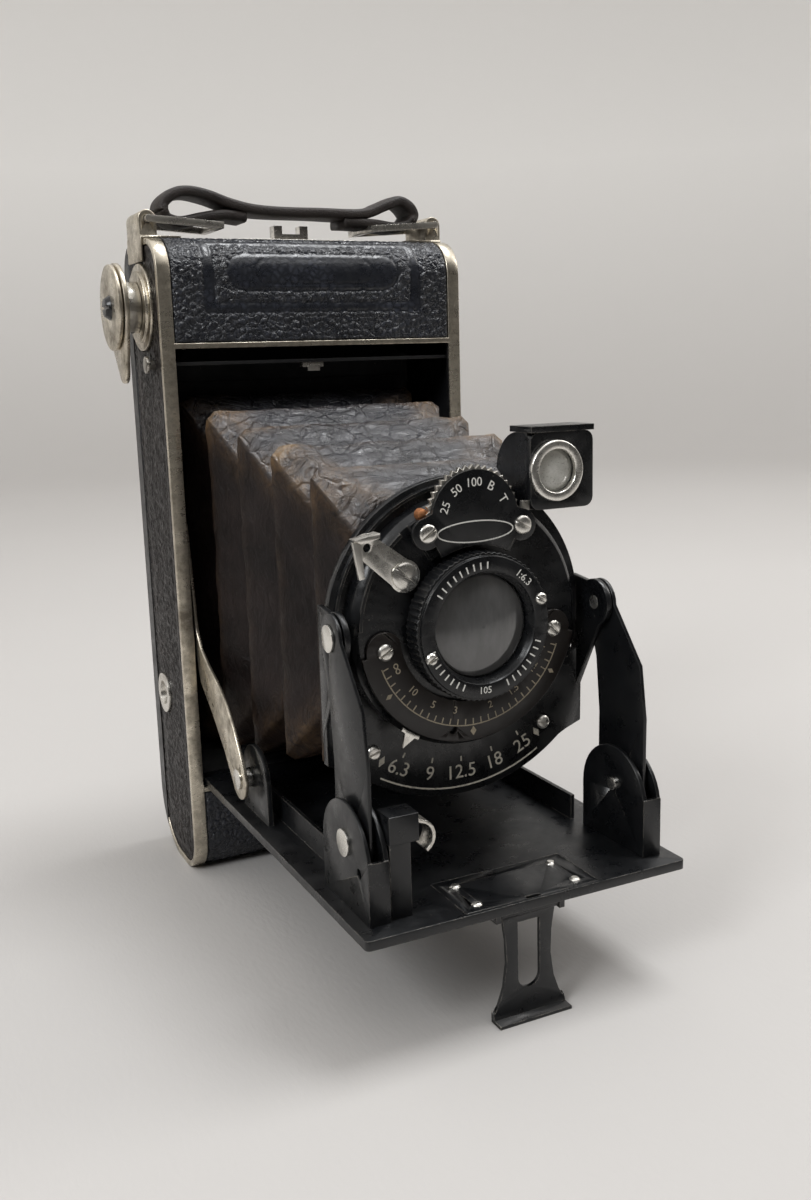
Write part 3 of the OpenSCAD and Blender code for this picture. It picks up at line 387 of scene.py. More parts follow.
# Each CAD node's material and the width of its rounded edges, in mm.
CAD_LOOKS = {
    "body_shell": (BODY_BLACK, 0.15), "front_rim": (NICKEL_WORN, 0.2),
    "gate_frame": (CAST_BLACK, 0.12), "roller_top": (STEEL, 0.1), "roller_bottom": (STEEL, 0.1),
    "takeup_spool": (BLACK, 0.15), "supply_spool": (BLACK, 0.15), "spool_pins": (NICKEL, 0.1),
    "key_escutcheon": (NICKEL_WORN, 0.2), "key_shaft": (NICKEL, 0.25),
    "key_wing": (NICKEL_WORN, 0.25), "key_screw": (BLACK, 0.15), "release_button": (NICKEL, 0.2),
    "bed_catch": (NICKEL, 0.1), "tripod_bush": (NICKEL, 0.15), "latch_plate": (NICKEL, 0.12),
    "back_latch": (NICKEL_BRIGHT, 0.2), "strap_lugs": (NICKEL_WORN, 0.2),
    "strap_loops": (NICKEL, 0.35), "back_cover": (BODY_BLACK, 0.2), "hinge_pins": (STEEL, 0.1),
    "pressure_plate": (CAST_BLACK, 0.15), "pressure_springs": (SPRING, 0.08),
    "red_window": (RUBY, 0.1), "window_frame": (NICKEL, 0.15), "window_cover": (BLACK, 0.1),
    "bed_plate": (BLACK_WORN, 0.22), "bracket_left": (BLACK_WORN, 0.25),
    "bracket_right": (BLACK_WORN, 0.25), "bed_rivets": (NICKEL_BRIGHT, 0.25),
    "strut_lock": (BLACK_WORN, 0.3), "lock_leaf": (NICKEL, 0.12), "foot_plate": (BLACK_WORN, 0.1),
    "foot": (BLACK_WORN, 0.22), "foot_pin": (STEEL, 0.1), "strut_left": (BLACK_WORN, 0.2),
    "strut_right": (BLACK_WORN, 0.2), "strut_rivets": (NICKEL_BRIGHT, 0.25),
    "brace_left": (NICKEL_WORN, 0.2), "brace_right": (NICKEL_WORN, 0.2),
    "standard_plate": (BLACK, 0.3), "shutter_case": (BLACK, 0.3), "shutter_blades": (BLUED, 0.02),
    "speed_wheel": (NICKEL, 0.1), "speed_plate": (BLACK, 0.15),
    "shutter_screws": (NICKEL_BRIGHT, 0.12), "cocking_lever": (NICKEL_BRIGHT, 0.15),
    "aperture_pointer": (NICKEL_BRIGHT, 0.1), "distance_plate": (BROWN_ENAMEL, 0.12),
    "focus_ring": (BLACK, 0.12), "front_lens": (GLASS, 0.0), "finder_body": (BLACK, 0.35),
    "finder_ring": (NICKEL_BRIGHT, 0.35), "finder_lens": (FINDER_GLASS, 0.0),
    "finder_bracket": (NICKEL, 0.15),
}


def finish_cad(node, material, bevel):
    """Welds the shading seams, rounds the edges and gives a CAD node its material."""
    obj = NODES[node]
    if not obj.data.materials:
        obj.data.materials.append(material)
    for socket in obj.material_slots:
        socket.material = material
    obj.data.shade_smooth()
    weld = obj.modifiers.new("weld", "WELD")
    weld.merge_threshold = 0.002 * MM
    if bevel:
        soft = obj.modifiers.new("bevel", "BEVEL")
        soft.width = bevel * MM
        soft.segments = 2
        soft.limit_method = "ANGLE"
        soft.angle_limit = math.radians(38)
        soft.use_clamp_overlap = True
        soft.harden_normals = True
    else:
        obj.data.set_sharp_from_angle(angle=math.radians(40))


# Mesh helpers -------------------------------------------------------------------------------------

def new_piece(name, verts, faces, material, body, smooth=True):
    mesh = bpy.data.meshes.new(name)
    mesh.from_pydata(verts, [], faces)
    mesh.validate()
    mesh.materials.append(material)
    if smooth:
        mesh.shade_smooth()
    obj = bpy.data.objects.new(name, mesh)
    bpy.context.scene.collection.objects.link(obj)
    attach(obj, body)
    return obj


def edit(obj):
    """The mesh of an object, opened for editing."""
    mesh = bmesh.new()
    mesh.from_mesh(obj.data)
    return mesh


def close(mesh, obj):
    mesh.to_mesh(obj.data)
    mesh.free()


def fix_normals(obj):
    mesh = edit(obj)
    bmesh.ops.recalc_face_normals(mesh, faces=mesh.faces)
    close(mesh, obj)


def thicken(obj, thickness):
    """Gives a sheet its thickness, inwards."""
    solid = obj.modifiers.new("thickness", "SOLIDIFY")
    solid.thickness = thickness
    solid.offset = -1


def grid_faces(rows, cols, wrap=False):
    last = cols if wrap else cols - 1
    return [(r * cols + c, r * cols + (c + 1) % cols, (r + 1) * cols + (c + 1) % cols, (r + 1) * cols + c)
            for r in range(rows - 1) for c in range(last)]


def point_values(obj, name, values):
    attribute = obj.data.attributes.new(name, "FLOAT", "POINT")
    attribute.data.foreach_set("value", values)


def smoothstep(a, b, x):
    t = min(1.0, max(0.0, (x - a) / (b - a)))
    return t * t * (3 - 2 * t)


def ridge(distance, width):
    """1 on a line, falling to 0 over a width."""
    return max(0.0, 1 - abs(distance) / width)


def walk(points, step):
    """Points along a polyline, about a step apart, each with its length so far and its direction."""
    out, run = [], 0.0
    for a, b in zip(points, points[1:]):
        a, b = Vector(a), Vector(b)
        length = (b - a).length
        count = max(1, round(length / step))
        for i in range(count):
            out.append((a + (b - a) * i / count, run + length * i / count, (b - a).normalized()))
        run += length
    out.append((Vector(points[-1]), run, (Vector(points[-1]) - Vector(points[-2])).normalized()))
    return out


def arc(cy, cz, r, a0, a1, n=10):
    return [(cy + r * math.cos(math.radians(a0 + (a1 - a0) * i / n)),
             cz + r * math.sin(math.radians(a0 + (a1 - a0) * i / n))) for i in range(n + 1)]


def rectangle(x, y, half_x, half_y, radius=0.0):
    """Signed distance to a rectangle with round corners: negative inside."""
    dx, dy = abs(x) - half_x + radius, abs(y) - half_y + radius
    outside = math.hypot(max(dx, 0), max(dy, 0))
    return outside + min(max(dx, dy), 0) - radius


# Leather panels -----------------------------------------------------------------------------------

PEBBLE = 1.7 * MM
PEBBLE_HEIGHT = 0.36 * MM
PRESS = 0.05 * MM


def pebble(p, amount=1.0):
    """Height of the pebbled grain at a point: rounded cells, parted by narrow valleys."""
    q = p / PEBBLE
    q = q + Vector((noise.noise(q * 1.3), noise.noise(q * 1.3 + Vector((9, 2, 5))), 0)) * 0.5
    near, second = noise.voronoi(q)[0][:2]
    return amount * PEBBLE_HEIGHT * (smoothstep(0.0, 0.42, second - near) - 0.65)


def leather_sheet(name, us, vs, place, relief, body):
    """A sheet over a grid of (u, v), raised by a relief function.

    place gives the point and the normal at (u, v), and relief the height, the smoothness and the rub there.
    """
    verts, flat, rub = [], [], []
    for u in us:
        for v in vs:
            point, normal = place(u, v)
            height, smooth, worn = relief(u, v, point)
            verts.append(point + normal * height)
            flat.append(smooth)
            rub.append(worn)
    obj = new_piece(name, verts, grid_faces(len(us), len(vs)), LEATHER, body)
    point_values(obj, "smooth", flat)
    point_values(obj, "rub", rub)
    thicken(obj, SKIN * 0.8)
    return obj


def spread(a, b, step):
    count = max(2, round(abs(b - a) / step))
    return [a + (b - a) * i / count for i in range(count + 1)]


LINE = 0.34 * MM
GROOVE = 0.30 * MM


def framed_relief(half_u, half_v, mid_u, edge, frames, plain=None):
    """Relief of a leather panel: pebbled, with pressed frame lines and an optional plain field.

    Each frame is (half u, half v, corner radius). The strip between a pair of frames is smooth.
    """
    def relief(u, v, p):
        du, dv = u - mid_u, v
        border = rectangle(du, dv, half_u, half_v)
        lines = max((ridge(rectangle(du, dv, a, b, r), LINE * 1.6) for a, b, r in frames), default=0)
        smooth = 0.0
        for (a, b, r), (c, d, s) in zip(frames[::2], frames[1::2]):
            if rectangle(du, dv, a, b, r) < 0 < rectangle(du, dv, c, d, s):
                smooth = 1.0
        if plain and rectangle(du, dv, *plain) < 0:
            smooth = 1.0
        rolled = -0.35 * SKIN * smoothstep(-0.5 * MM, 0, border)
        grain = pebble(p, 1 - smooth * 0.93) * smoothstep(0, 1.0 * MM, -border)
        wear = smoothstep(-0.8 * MM, -0.1 * MM, border) * edge
        return rolled + grain - GROOVE * lines - PRESS * smooth, max(smooth, lines), wear
    return relief


def body_panels():
    """The leather on the body: the framed top panel, the bottom panel and both sides."""
    corner = FRONT_CORNER
    gap = 0.15 * MM
    half_v = HALF_W - 3.45 * MM
    bed_top_z = 134.35 * MM
    split = BACK_Y - 4.6 * MM
    path = [(FRONT_Y, bed_top_z), (FRONT_Y, TOP_Z - corner)]
    path += arc(FRONT_Y + corner, TOP_Z - corner, corner, 180, 90, 14)[1:]
    path += [(split, TOP_Z)]
    steps = walk(path, 0.42 * MM)
    total = steps[-1][1]
    lookup = {round(run, 9): (p, d) for p, run, d in steps}

    def place(u, v):
        p, d = lookup[round(u, 9)]
        return Vector((v, p.x, p.y)), Vector((0, -d.y, d.x))

    field_mid = 16.5 * MM
    frames = [(9.6 * MM, 28.6 * MM, 0.3 * MM), (7.4 * MM, 26.2 * MM, 0.3 * MM)]
    stadium = (4.6 * MM, 22.6 * MM, 4.6 * MM)

    def relief(u, v, p):
        du = u - field_mid
        border = rectangle(u - total / 2, v, total / 2, half_v)
        outer, inner = rectangle(du, v, *frames[0]), rectangle(du, v, *frames[1])
        oval = rectangle(du, v, *stadium)
        lines = max(ridge(outer, LINE * 1.4), ridge(inner, LINE * 1.4), ridge(oval, LINE * 1.6),
                    0.7 * ridge(rectangle(du, v, 2.9 * MM, 15.5 * MM, 2.9 * MM), LINE))
        smooth = 1.0 if (outer < 0 < inner) or oval < 0 else 0.0
        grain = pebble(p, 1 - smooth * 0.9) * smoothstep(0, 0.8 * MM, -border)
        rolled = -0.4 * SKIN * smoothstep(-0.45 * MM, 0, border)
        return rolled + grain - GROOVE * lines - PRESS * smooth, max(smooth, lines), 0.0

    us = [run for _, run, _ in steps]
    top = leather_sheet("leather_top", us, spread(-half_v + gap, half_v - gap, 0.42 * MM), place,
                        relief, "body")

    bed_foot_z = 22.2 * MM
    foot = BACK_FOOT_CORNER
    under = [(FRONT_Y, bed_foot_z), (FRONT_Y, corner)]
    under += arc(FRONT_Y + corner, corner, corner, 180, 270, 12)[1:]
    under += [(BACK_FOOT_Y, 0)] + arc(BACK_FOOT_Y, foot, foot, 270, 301, 6)[1:]
    down = walk(under, 0.6 * MM)
    below = {round(run, 9): (p, d) for p, run, d in down}

    def place_below(u, v):
        p, d = below[round(u, 9)]
        return Vector((v, p.x, p.y)), Vector((0, d.y, -d.x))

    length = down[-1][1]

    def relief_below(u, v, p):
        border = rectangle(u - length / 2, v, length / 2, half_v)
        height = pebble(p, 0.8) * smoothstep(0, 0.8 * MM, -border) - 0.25 * SKIN
        return min(0.0, height - 0.4 * SKIN * smoothstep(-0.45 * MM, 0, border)), 0.0, 0.0

    us = [run for _, run, _ in down]
    leather_sheet("leather_bottom", us, spread(half_v - gap, -half_v + gap, 0.6 * MM), place_below,
                  relief_below, "body")
    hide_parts("body_leathers")
    for side in (-1, 1):
        side_panel(side, split)


def side_limits(z, inset):
    """Front and back limits (y) of the body's side at a height, drawn in by an inset."""
    lower = z < TOP_Z / 2

    def reach(radius, edge):
        past = radius - z if lower else z - TOP_Z + radius
        dz = max(past, 0)
        r = radius - inset
        return edge - (radius - math.sqrt(max(r * r - dz * dz, 0)))

    return -reach(FRONT_CORNER, -FRONT_Y), reach(BACK_FOOT_CORNER if lower else BACK_TOP_CORNER, BACK_Y)


# What the left side's leather is cut out for, and the radius of each hole.
HOLES = [(middle("key_escutcheon"), 10.9 * MM), (middle("tripod_bush"), 5.25 * MM),
         (middle("release_button"), 1.5 * MM)]


def side_panel(side, split):
    """One side's long leather strip with a double pressed line near its edge."""
    inset = 1.65 * MM
    line_a, line_b = 1.9 * MM, 2.9 * MM
    z_low, z_high = inset + 0.05 * MM, TOP_Z - inset - 0.05 * MM
    x = side * (HALF_W - 0.16 * MM)
    zs = spread(z_low, z_high, 0.55 * MM)
    ts = [i / 46 for i in range(47)]
    verts, faces, flat, rub = [], [], [], []
    for z in zs:
        front, back = side_limits(z, inset)
        back = min(back, split - 0.1 * MM)
        for t in ts:
            y = front + (back - front) * t
            edge = min(y - front, back - y, z - z_low, z_high - z)
            lines = max(ridge(edge - line_a, LINE * 1.3), ridge(edge - line_b, LINE * 1.3))
            smooth = 1.0 if line_a < edge < line_b else 0.0
            height = pebble(Vector((y, z, side)), 0.85 * (1 - smooth)) * smoothstep(0, 0.7 * MM, edge)
            height -= GROOVE * 0.8 * lines + 0.5 * SKIN * smoothstep(0.4 * MM, 0, edge)
            verts.append((x + side * min(height, 0.1 * MM), y, z))
            flat.append(max(lines, smooth))
            rub.append(0.35 * smoothstep(0.8 * MM, 0.1 * MM, edge))
    cols = len(ts)
    for face in grid_faces(len(zs), cols):
        centre = sum((Vector(verts[i]) for i in face), Vector()) / 4
        cut = side < 0 and any(math.dist(centre.yz, hole.yz) < r for hole, r in HOLES)
        if not cut:
            faces.append(face if side < 0 else face[::-1])
    obj = new_piece("leather_left" if side < 0 else "leather_right", verts, faces, SIDE_LEATHER, "body")
    point_values(obj, "smooth", flat)
    point_values(obj, "rub", rub)
    mesh = edit(obj)
    bmesh.ops.delete(mesh, geom=[v for v in mesh.verts if not v.link_faces], context="VERTS")
    bmesh.ops.recalc_face_normals(mesh, faces=mesh.faces)
    if (sum(f.normal.x for f in mesh.faces) > 0) != (side > 0):
        bmesh.ops.reverse_faces(mesh, faces=mesh.faces)
    close(mesh, obj)
    thicken(obj, SKIN * 0.75)


def back_panel():
    """The back's leather, framed by a pressed double line, with the window's cut-out."""
    lo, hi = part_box("back_leather")
    half = (hi.x - lo.x) / 2 - 0.1 * MM
    foot, corner = BACK_FOOT_CORNER, BACK_TOP_CORNER
    path = arc(BACK_Y - corner, TOP_Z - corner, corner, 56, 0, 8)[:-1]
    path += [(BACK_Y, TOP_Z - corner), (BACK_Y, foot)] + arc(BACK_FOOT_Y, foot, foot, 0, -17.5, 6)[1:]
    steps = walk(path, 0.6 * MM)
    length = steps[-1][1]
    table = {round(run, 9): (p, d) for p, run, d in steps}
    window_z = middle("window_frame").z
    window_half_z = (high("window_frame").z - low("window_frame").z) / 2
    window_half_x = 7.1 * MM

    def place(u, v):
        p, d = table[round(u, 9)]
        return Vector((v, p.x, p.y)), Vector((0, -d.y, d.x))

    half_u = length / 2
    frames = [(half_u - 4.2 * MM, half - 4.2 * MM, 1 * MM), (half_u - 6 * MM, half - 6 * MM, 1 * MM)]
    relief = framed_relief(half_u, half, half_u, 0.3, frames)

    def lowered(u, v, p):
        height, smooth, wear = relief(u, v, p)
        return min(height, 0.12 * MM), smooth, wear

    us = [run for _, run, _ in steps]
    obj = leather_sheet("leather_back", us, spread(half, -half, 0.6 * MM), place, lowered, "back")
    mesh = edit(obj)
    inside = [f for f in mesh.faces
              if abs(f.calc_center_median().x) < window_half_x
              and abs(f.calc_center_median().z - window_z) < window_half_z + 0.1 * MM]
    bmesh.ops.delete(mesh, geom=inside, context="FACES")
    close(mesh, obj)
    outward(obj, Vector((0, 1, 0)))
    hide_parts("back_leather")


def outward(obj, direction):
    """Turns an open sheet so that most of it faces a direction."""
    mesh = edit(obj)
    if sum(f.normal.dot(direction) * f.calc_area() for f in mesh.faces) < 0:
        bmesh.ops.reverse_faces(mesh, faces=mesh.faces)
    close(mesh, obj)


def bed_panel():
    """The leather under the bed: the front of the closed camera."""
    lo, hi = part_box("bed_leather")
    half_u, half_v = (hi.y - lo.y) / 2 - 0.1 * MM, (hi.x - lo.x) / 2 - 0.1 * MM
    mid_y = (hi.y + lo.y) / 2
    frames = [(half_u - 4 * MM, half_v - 4 * MM, 1 * MM), (half_u - 6 * MM, half_v - 6 * MM, 1 * MM)]
    plain_field = (20 * MM, 12 * MM, 3 * MM)
    relief = framed_relief(half_u, half_v, 0, 0.3, frames, plain_field)

    def place(u, v):
        return Vector((v, mid_y + u, lo.z + 0.08 * MM)), Vector((0, 0, -1))

    obj = leather_sheet("leather_bed", spread(-half_u, half_u, 0.6 * MM),
                        spread(-half_v, half_v, 0.6 * MM), place, relief, "bed")
    outward(obj, Vector((0, 0, -1)))
    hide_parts("bed_leather")


# Bellows ------------------------------------------------------------------------------------------

PLEATS = 5
ROWS_PER_HALF = 7
PLEAT_DEPTH = 4.4 * MM
BELLOWS_THICKNESS = 0.5 * MM

# Points along each side of the octagonal section: a long side, a corner, the top, a corner and so on.
SIDE_POINTS = [46, 7, 38, 7, 46, 7, 38, 7]
TOP = 2
UPPER_SIDES = (1, 2, 3)


def bellows_section(t, out, c):
    """Corner points (x, z) of the octagonal section at a share t of the length, its corners cut by c."""
    hx = (31 - 7 * t) * MM + out
    hz = (44.6 - 17 * t) * MM + out
    return [(hx, -hz + c), (hx, hz - c), (hx - c, hz), (-hx + c, hz), (-hx, hz - c), (-hx, -hz + c),
            (-hx + c, -hz), (hx - c, -hz)]


def make_bellows():
    """Pleated bellows: sharp ridges with folded corners, sagging creased panels and rubbed folds."""
    rows = 2 * PLEATS * ROWS_PER_HALF
    verts, fold, upper = [], [], []
    for row in range(rows + 1):
        half, part = divmod(row, ROWS_PER_HALF)
        wave = part / ROWS_PER_HALF if half % 2 == 0 else 1 - part / ROWS_PER_HALF
        t = row / rows
        out = PLEAT_DEPTH * (wave ** 0.92 - 0.5)
        chamfer = (7.0 - 5.2 * wave) * MM
        ring = bellows_section(t, out, chamfer)
        y = GATE_Y + (PLATE_Y - GATE_Y) * t
        crest = max(0.0, 1 - (1 - wave) * 5.0)
        for side, count in enumerate(SIDE_POINTS):
            a, b = Vector(ring[side]), Vector(ring[(side + 1) % 8])
            across = Vector(((b - a).y, -(b - a).x)).normalized()
            corner = side % 2 == 1
            for i in range(count):
                s = i / count
                x, z = a + (b - a) * s
                p = Vector((x, y, z))
                sag = 0.0 if corner else -0.55 * MM * math.sin(math.pi * s) * (0.4 + 0.6 * (1 - wave))
                crumple = noise.fractal(p * 110, 0.8, 2.1, 5) * 0.46 * MM
                crumple += noise.ridged_multi_fractal(p * 60, 1.0, 2.0, 4, 1.0, 2.0) * 0.20 * MM
                ends = min(1.0, 6 * t, 6 * (1 - t))
                lift = (sag + crumple * (0.5 + 0.5 * ends)) * ends
                near = min(s, 1 - s) * (b - a).length
                reach = (15 if side == TOP else 10) * MM
                edge = 1.0 if corner else max(0.0, 1 - near / reach)
                patchy = 0.5 + 0.8 * noise.noise(p * 130)
                above = side in UPPER_SIDES
                value = crest * (0.25 + 0.75 * edge) + 0.75 * edge * max(0.0, 1 - near / (8 * MM))
                fold.append(max(0.0, min(1.0, value * patchy * 1.25 * (1.0 if above else 0.35))))
                # upper: high on the top sides, where the shader paints the lighter grey sheen (painted
                # reflection) as well as raising the gloss.
                upper.append(0.85 if above else 0.12)
                verts.append((p.x + across.x * lift, p.y, LENS.z + p.z + across.y * lift))
    obj = new_piece("bellows_skin", verts, grid_faces(rows + 1, sum(SIDE_POINTS), True), BELLOWS, "body")
    point_values(obj, "fold", fold)
    point_values(obj, "upper", upper)
    mesh = edit(obj)
    bmesh.ops.recalc_face_normals(mesh, faces=mesh.faces)
    outer = sum(f.normal.dot(f.calc_center_median() - Vector((0, f.calc_center_median().y, LENS.z)))
                for f in mesh.faces)
    if outer < 0:
        bmesh.ops.reverse_faces(mesh, faces=mesh.faces)
    close(mesh, obj)
    thicken(obj, BELLOWS_THICKNESS)
    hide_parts("bellows")
    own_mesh(obj)


# Strap --------------------------------------------------------------------------------------------

STRAP_WIDTH = 10.6 * MM
STRAP_THICK = 2.7 * MM

# The strap's three runs, each a list of (x, height above the body's top) in mm.
STRAP_ROUTES = {
    "strap_band": [(-33.9, 6.9), (-33.3, 8.9), (-30.6, 10.9), (-27, 11.5), (-22, 10.6), (-16, 8.7),
                   (-9, 7.5), (6, 7.2), (19, 7.3), (25.5, 9.4), (29.6, 10.8), (32.4, 9.7), (33.9, 7.6),
                   (33.4, 6.2)],
    "strap_end_left": [(-33.9, 6.9), (-32.8, 5.1), (-29.5, 4.3), (-24, 5.4), (-18.5, 6.2), (-13, 5.7)],
    "strap_end_right": [(33.4, 6.2), (31.8, 4.9), (28, 4.2), (23, 4.8), (18.5, 5.0), (13.5, 5.1)],
}


def make_strap():
    """Carrying strap: one band threaded through both loops, its ends doubled back beneath."""
    mid_y = middle("carry_strap").y
    for name, route in STRAP_ROUTES.items():
        points = smooth_route([(x * MM, TOP_Z + h * MM) for x, h in route], 8)
        band(name, points, mid_y)
    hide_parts("carry_strap")


def smooth_route(points, per):
    """Catmull-Rom curve through points in a plane."""
    pts = [Vector(p) for p in points]
    pts = [pts[0] * 2 - pts[1]] + pts + [pts[-1] * 2 - pts[-2]]
    out = []
    for i in range(1, len(pts) - 2):
        a, b, c, d = pts[i - 1:i + 3]
        for k in range(per):
            t = k / per
            out.append(0.5 * (2 * b + (c - a) * t + (2 * a - 5 * b + 4 * c - d) * t * t
                              + (3 * b - a - 3 * c + d) * t ** 3))
    out.append(pts[-2])
    return out


def band(name, route, mid_y):
    """A flat leather band along a route in the (x, z) plane, with rounded edges and a slight crown."""
    around = 28
    section = []
    for i in range(around):
        a = 2 * math.pi * i / around
        c, s = math.cos(a), math.sin(a)
        section.append((math.copysign(abs(c) ** 0.35, c) * STRAP_WIDTH / 2,
                        math.copysign(abs(s) ** 0.6, s) * STRAP_THICK / 2))
    verts = []
    for i, p in enumerate(route):
        d = (route[min(i + 1, len(route) - 1)] - route[max(i - 1, 0)]).normalized()
        normal = Vector((-d.y, d.x))
        narrow = 1 - 0.05 * math.sin(i * 0.21) ** 2
        for v, h in section:
            crown = 0.12 * MM * math.cos(math.pi * v / STRAP_WIDTH)
            wave = 0.14 * MM * noise.noise(Vector((p.x * 60, v * 90, 3)))
            q = p + normal * (h + crown + wave)
            verts.append((q.x, mid_y + v * narrow, q.y))
    faces = grid_faces(len(route), around, True)
    faces.append(tuple(reversed(range(around))))
    faces.append(tuple((len(route) - 1) * around + k for k in range(around)))
    obj = new_piece(name, verts, faces, STRAP, "body")
    fix_normals(obj)
    return obj


# Scales and markings ------------------------------------------------------------------------------

MARK = 0.05 * MM


def glyphs(text, size):
    """A word as a mesh, centred, lying in its own XY plane."""
    curve = bpy.data.curves.new("word", "FONT")
    curve.body = text
    curve.size = size
    curve.align_x = "CENTER"
    curve.align_y = "CENTER"
    curve.extrude = MARK / 2
    curve.resolution_u = 3
    holder = bpy.data.objects.new("word", curve)
    bpy.context.scene.collection.objects.link(holder)
    bpy.context.view_layer.update()
    mesh = bpy.data.meshes.new_from_object(holder.evaluated_get(bpy.context.evaluated_depsgraph_get()))
    bpy.data.objects.remove(holder)
    return mesh


FACING = Matrix.Rotation(math.pi / 2, 4, "X")


def dial_labels(name, centre, y, labels, material, body):
    """Words on a dial that faces -Y.

    Each label is (text, angle, radius, size). The upper ones stand with their tops outward, and the lower
    ones with their tops inward, so that all read from the front.
    """
    joined = bmesh.new()
    for text, angle, radius, size in labels:
        a = math.radians(angle)
        turn = a - math.pi / 2 if angle < 180 else a + math.pi / 2
        spot = Matrix.Translation((centre[0] + radius * math.cos(a), y, centre[1] + radius * math.sin(a)))
        mesh = glyphs(text, size)
        mesh.transform(spot @ FACING @ Matrix.Rotation(turn, 4, "Z"))
        joined.from_mesh(mesh)
    mesh = bpy.data.meshes.new(name)
    joined.to_mesh(mesh)
    joined.free()
    mesh.materials.clear()
    mesh.materials.append(material)
    obj = bpy.data.objects.new(name, mesh)
    bpy.context.scene.collection.objects.link(obj)
    for face in mesh.polygons:
        face.material_index = 0
    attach(obj, body)


def strokes(name, centre, y, outlines, material, body):
    """Flat painted shapes facing -Y: each outline is a list of (x, z) about a centre."""
    verts, faces = [], []
    for outline in outlines:
        base = len(verts)
        n = len(outline)
        for depth in (-MARK / 2, MARK / 2):
            verts += [(centre[0] + px, y + depth, centre[1] + pz) for px, pz in outline]
        faces.append(tuple(base + i for i in range(n)))
        faces.append(tuple(base + n + i for i in reversed(range(n))))
        faces += [(base + i, base + n + i, base + n + (i + 1) % n, base + (i + 1) % n) for i in range(n)]
    fix_normals(new_piece(name, verts, faces, material, body, smooth=False))


def polar(radius, angle):
    return radius * math.cos(math.radians(angle)), radius * math.sin(math.radians(angle))


def tick(angle, inner, outer, width):
    """A short radial stroke."""
    half = math.degrees(width / 2 / inner)
    return [polar(inner, angle - half), polar(outer, angle - half),
            polar(outer, angle + half), polar(inner, angle + half)]


def ribbon(points, width):
    """A line of even width along points, as four-cornered strokes."""
    quads = []
    for (ax, az), (bx, bz) in zip(points, points[1:]):
        length = math.hypot(bx - ax, bz - az)
        nx, nz = (az - bz) / length * width / 2, (bx - ax) / length * width / 2
        quads.append([(ax + nx, az + nz), (bx + nx, bz + nz), (bx - nx, bz - nz), (ax - nx, az - nz)])
    return quads


def arc_line(radius, width, a0, a1, n=30):
    return ribbon([polar(radius, a0 + (a1 - a0) * i / n) for i in range(n + 1)], width)


def lozenge(radius, angle, long, wide):
    """A small diamond, with its long axis radial."""
    x, z = polar(radius, angle)
    c, s = polar(1, angle)
    return [(x + c * long, z + s * long), (x - s * wide, z + c * wide), (x - c * long, z - s * long),
            (x + s * wide, z - c * wide)]


def on_dial(radius, size, *labels):
    """Labels of one size on one radius, both in mm."""
    return [(text, angle, radius * MM, size * MM) for text, angle in labels]


def make_markings():
    """Every number and scale: speeds, lens ring, distances in metres, and apertures on the lip."""
    lens = (0, LENS.z)
    speed_y = low("speed_plate").y - MARK / 2
    speeds = on_dial(7.2, 2.5, ("25", 158), ("50", 125), ("100", 92))
    speeds += on_dial(7.2, 2.7, ("B", 60), ("T", 29))
    dial_labels("speed_numbers", (0, SPEED_Z), speed_y, speeds, WHITE, "standard")
    eye = [(8.6 * MM * math.cos(math.radians(a)), 2.1 * MM * math.sin(math.radians(a)))
           for a in range(0, 361, 10)]
    strokes("speed_frame", (0, LENS.z + 19.0 * MM), speed_y, ribbon(eye, 0.25 * MM), WHITE, "standard")

    ring_y = low("focus_ring").y - MARK / 2
    cell = on_dial(12.75, 2.2, ("1:6.3", 47)) + on_dial(12.75, 2.0, ("105", 268))
    dial_labels("cell_numbers", lens, ring_y, cell, WHITE, "focus")
    spans = [range(88, 151, 7), range(196, 246, 7), range(292, 344, 7)]
    rings = [tick(a, 12.0 * MM, 13.4 * MM, 0.28 * MM) for span in spans for a in span]
    strokes("cell_ticks", lens, ring_y, rings, WHITE, "focus")

    plate_y = low("distance_plate").y - MARK / 2
    metres = on_dial(18.6, 2.8, ("∞", 203))
    metres += on_dial(18.4, 2.2, ("10", 222), ("5", 240), ("3", 257), ("2", 283), ("1.5", 302),
                      ("1.2", 322), ("1", 337))
    dial_labels("distance_numbers", lens, plate_y, metres, OCHRE, "standard")
    scale = [tick(a, 20.2 * MM, 21.4 * MM, 0.25 * MM) for a in range(200, 341, 5)]
    scale += arc_line(21.6 * MM, 0.25 * MM, 199, 341) + [lozenge(22.9 * MM, 270, 1.0 * MM, 0.7 * MM)]
    scale += [lozenge(22.9 * MM, a, 0.9 * MM, 0.5 * MM) for a in (214, 326)]
    strokes("distance_scale", lens, plate_y, scale, OCHRE, "standard")

    lip_y = PLATE_FRONT - MARK / 2
    stops = on_dial(33.6, 4.3, ("6.3", 244), ("9", 257), ("12.5", 270), ("18", 284), ("25", 297))
    dial_labels("aperture_numbers", lens, lip_y, stops, CREAM, "standard")
    marks = [tick(angle, 30.1 * MM, 31.2 * MM, 0.35 * MM) for _, angle, _, _ in stops]
    marks += arc_line(36.8 * MM, 0.35 * MM, 239, 301)
    marks += [lozenge(33.6 * MM, a, 1.3 * MM, 0.7 * MM) for a in (236.5, 304)]
    strokes("aperture_scale", lens, lip_y, marks, CREAM, "standard")


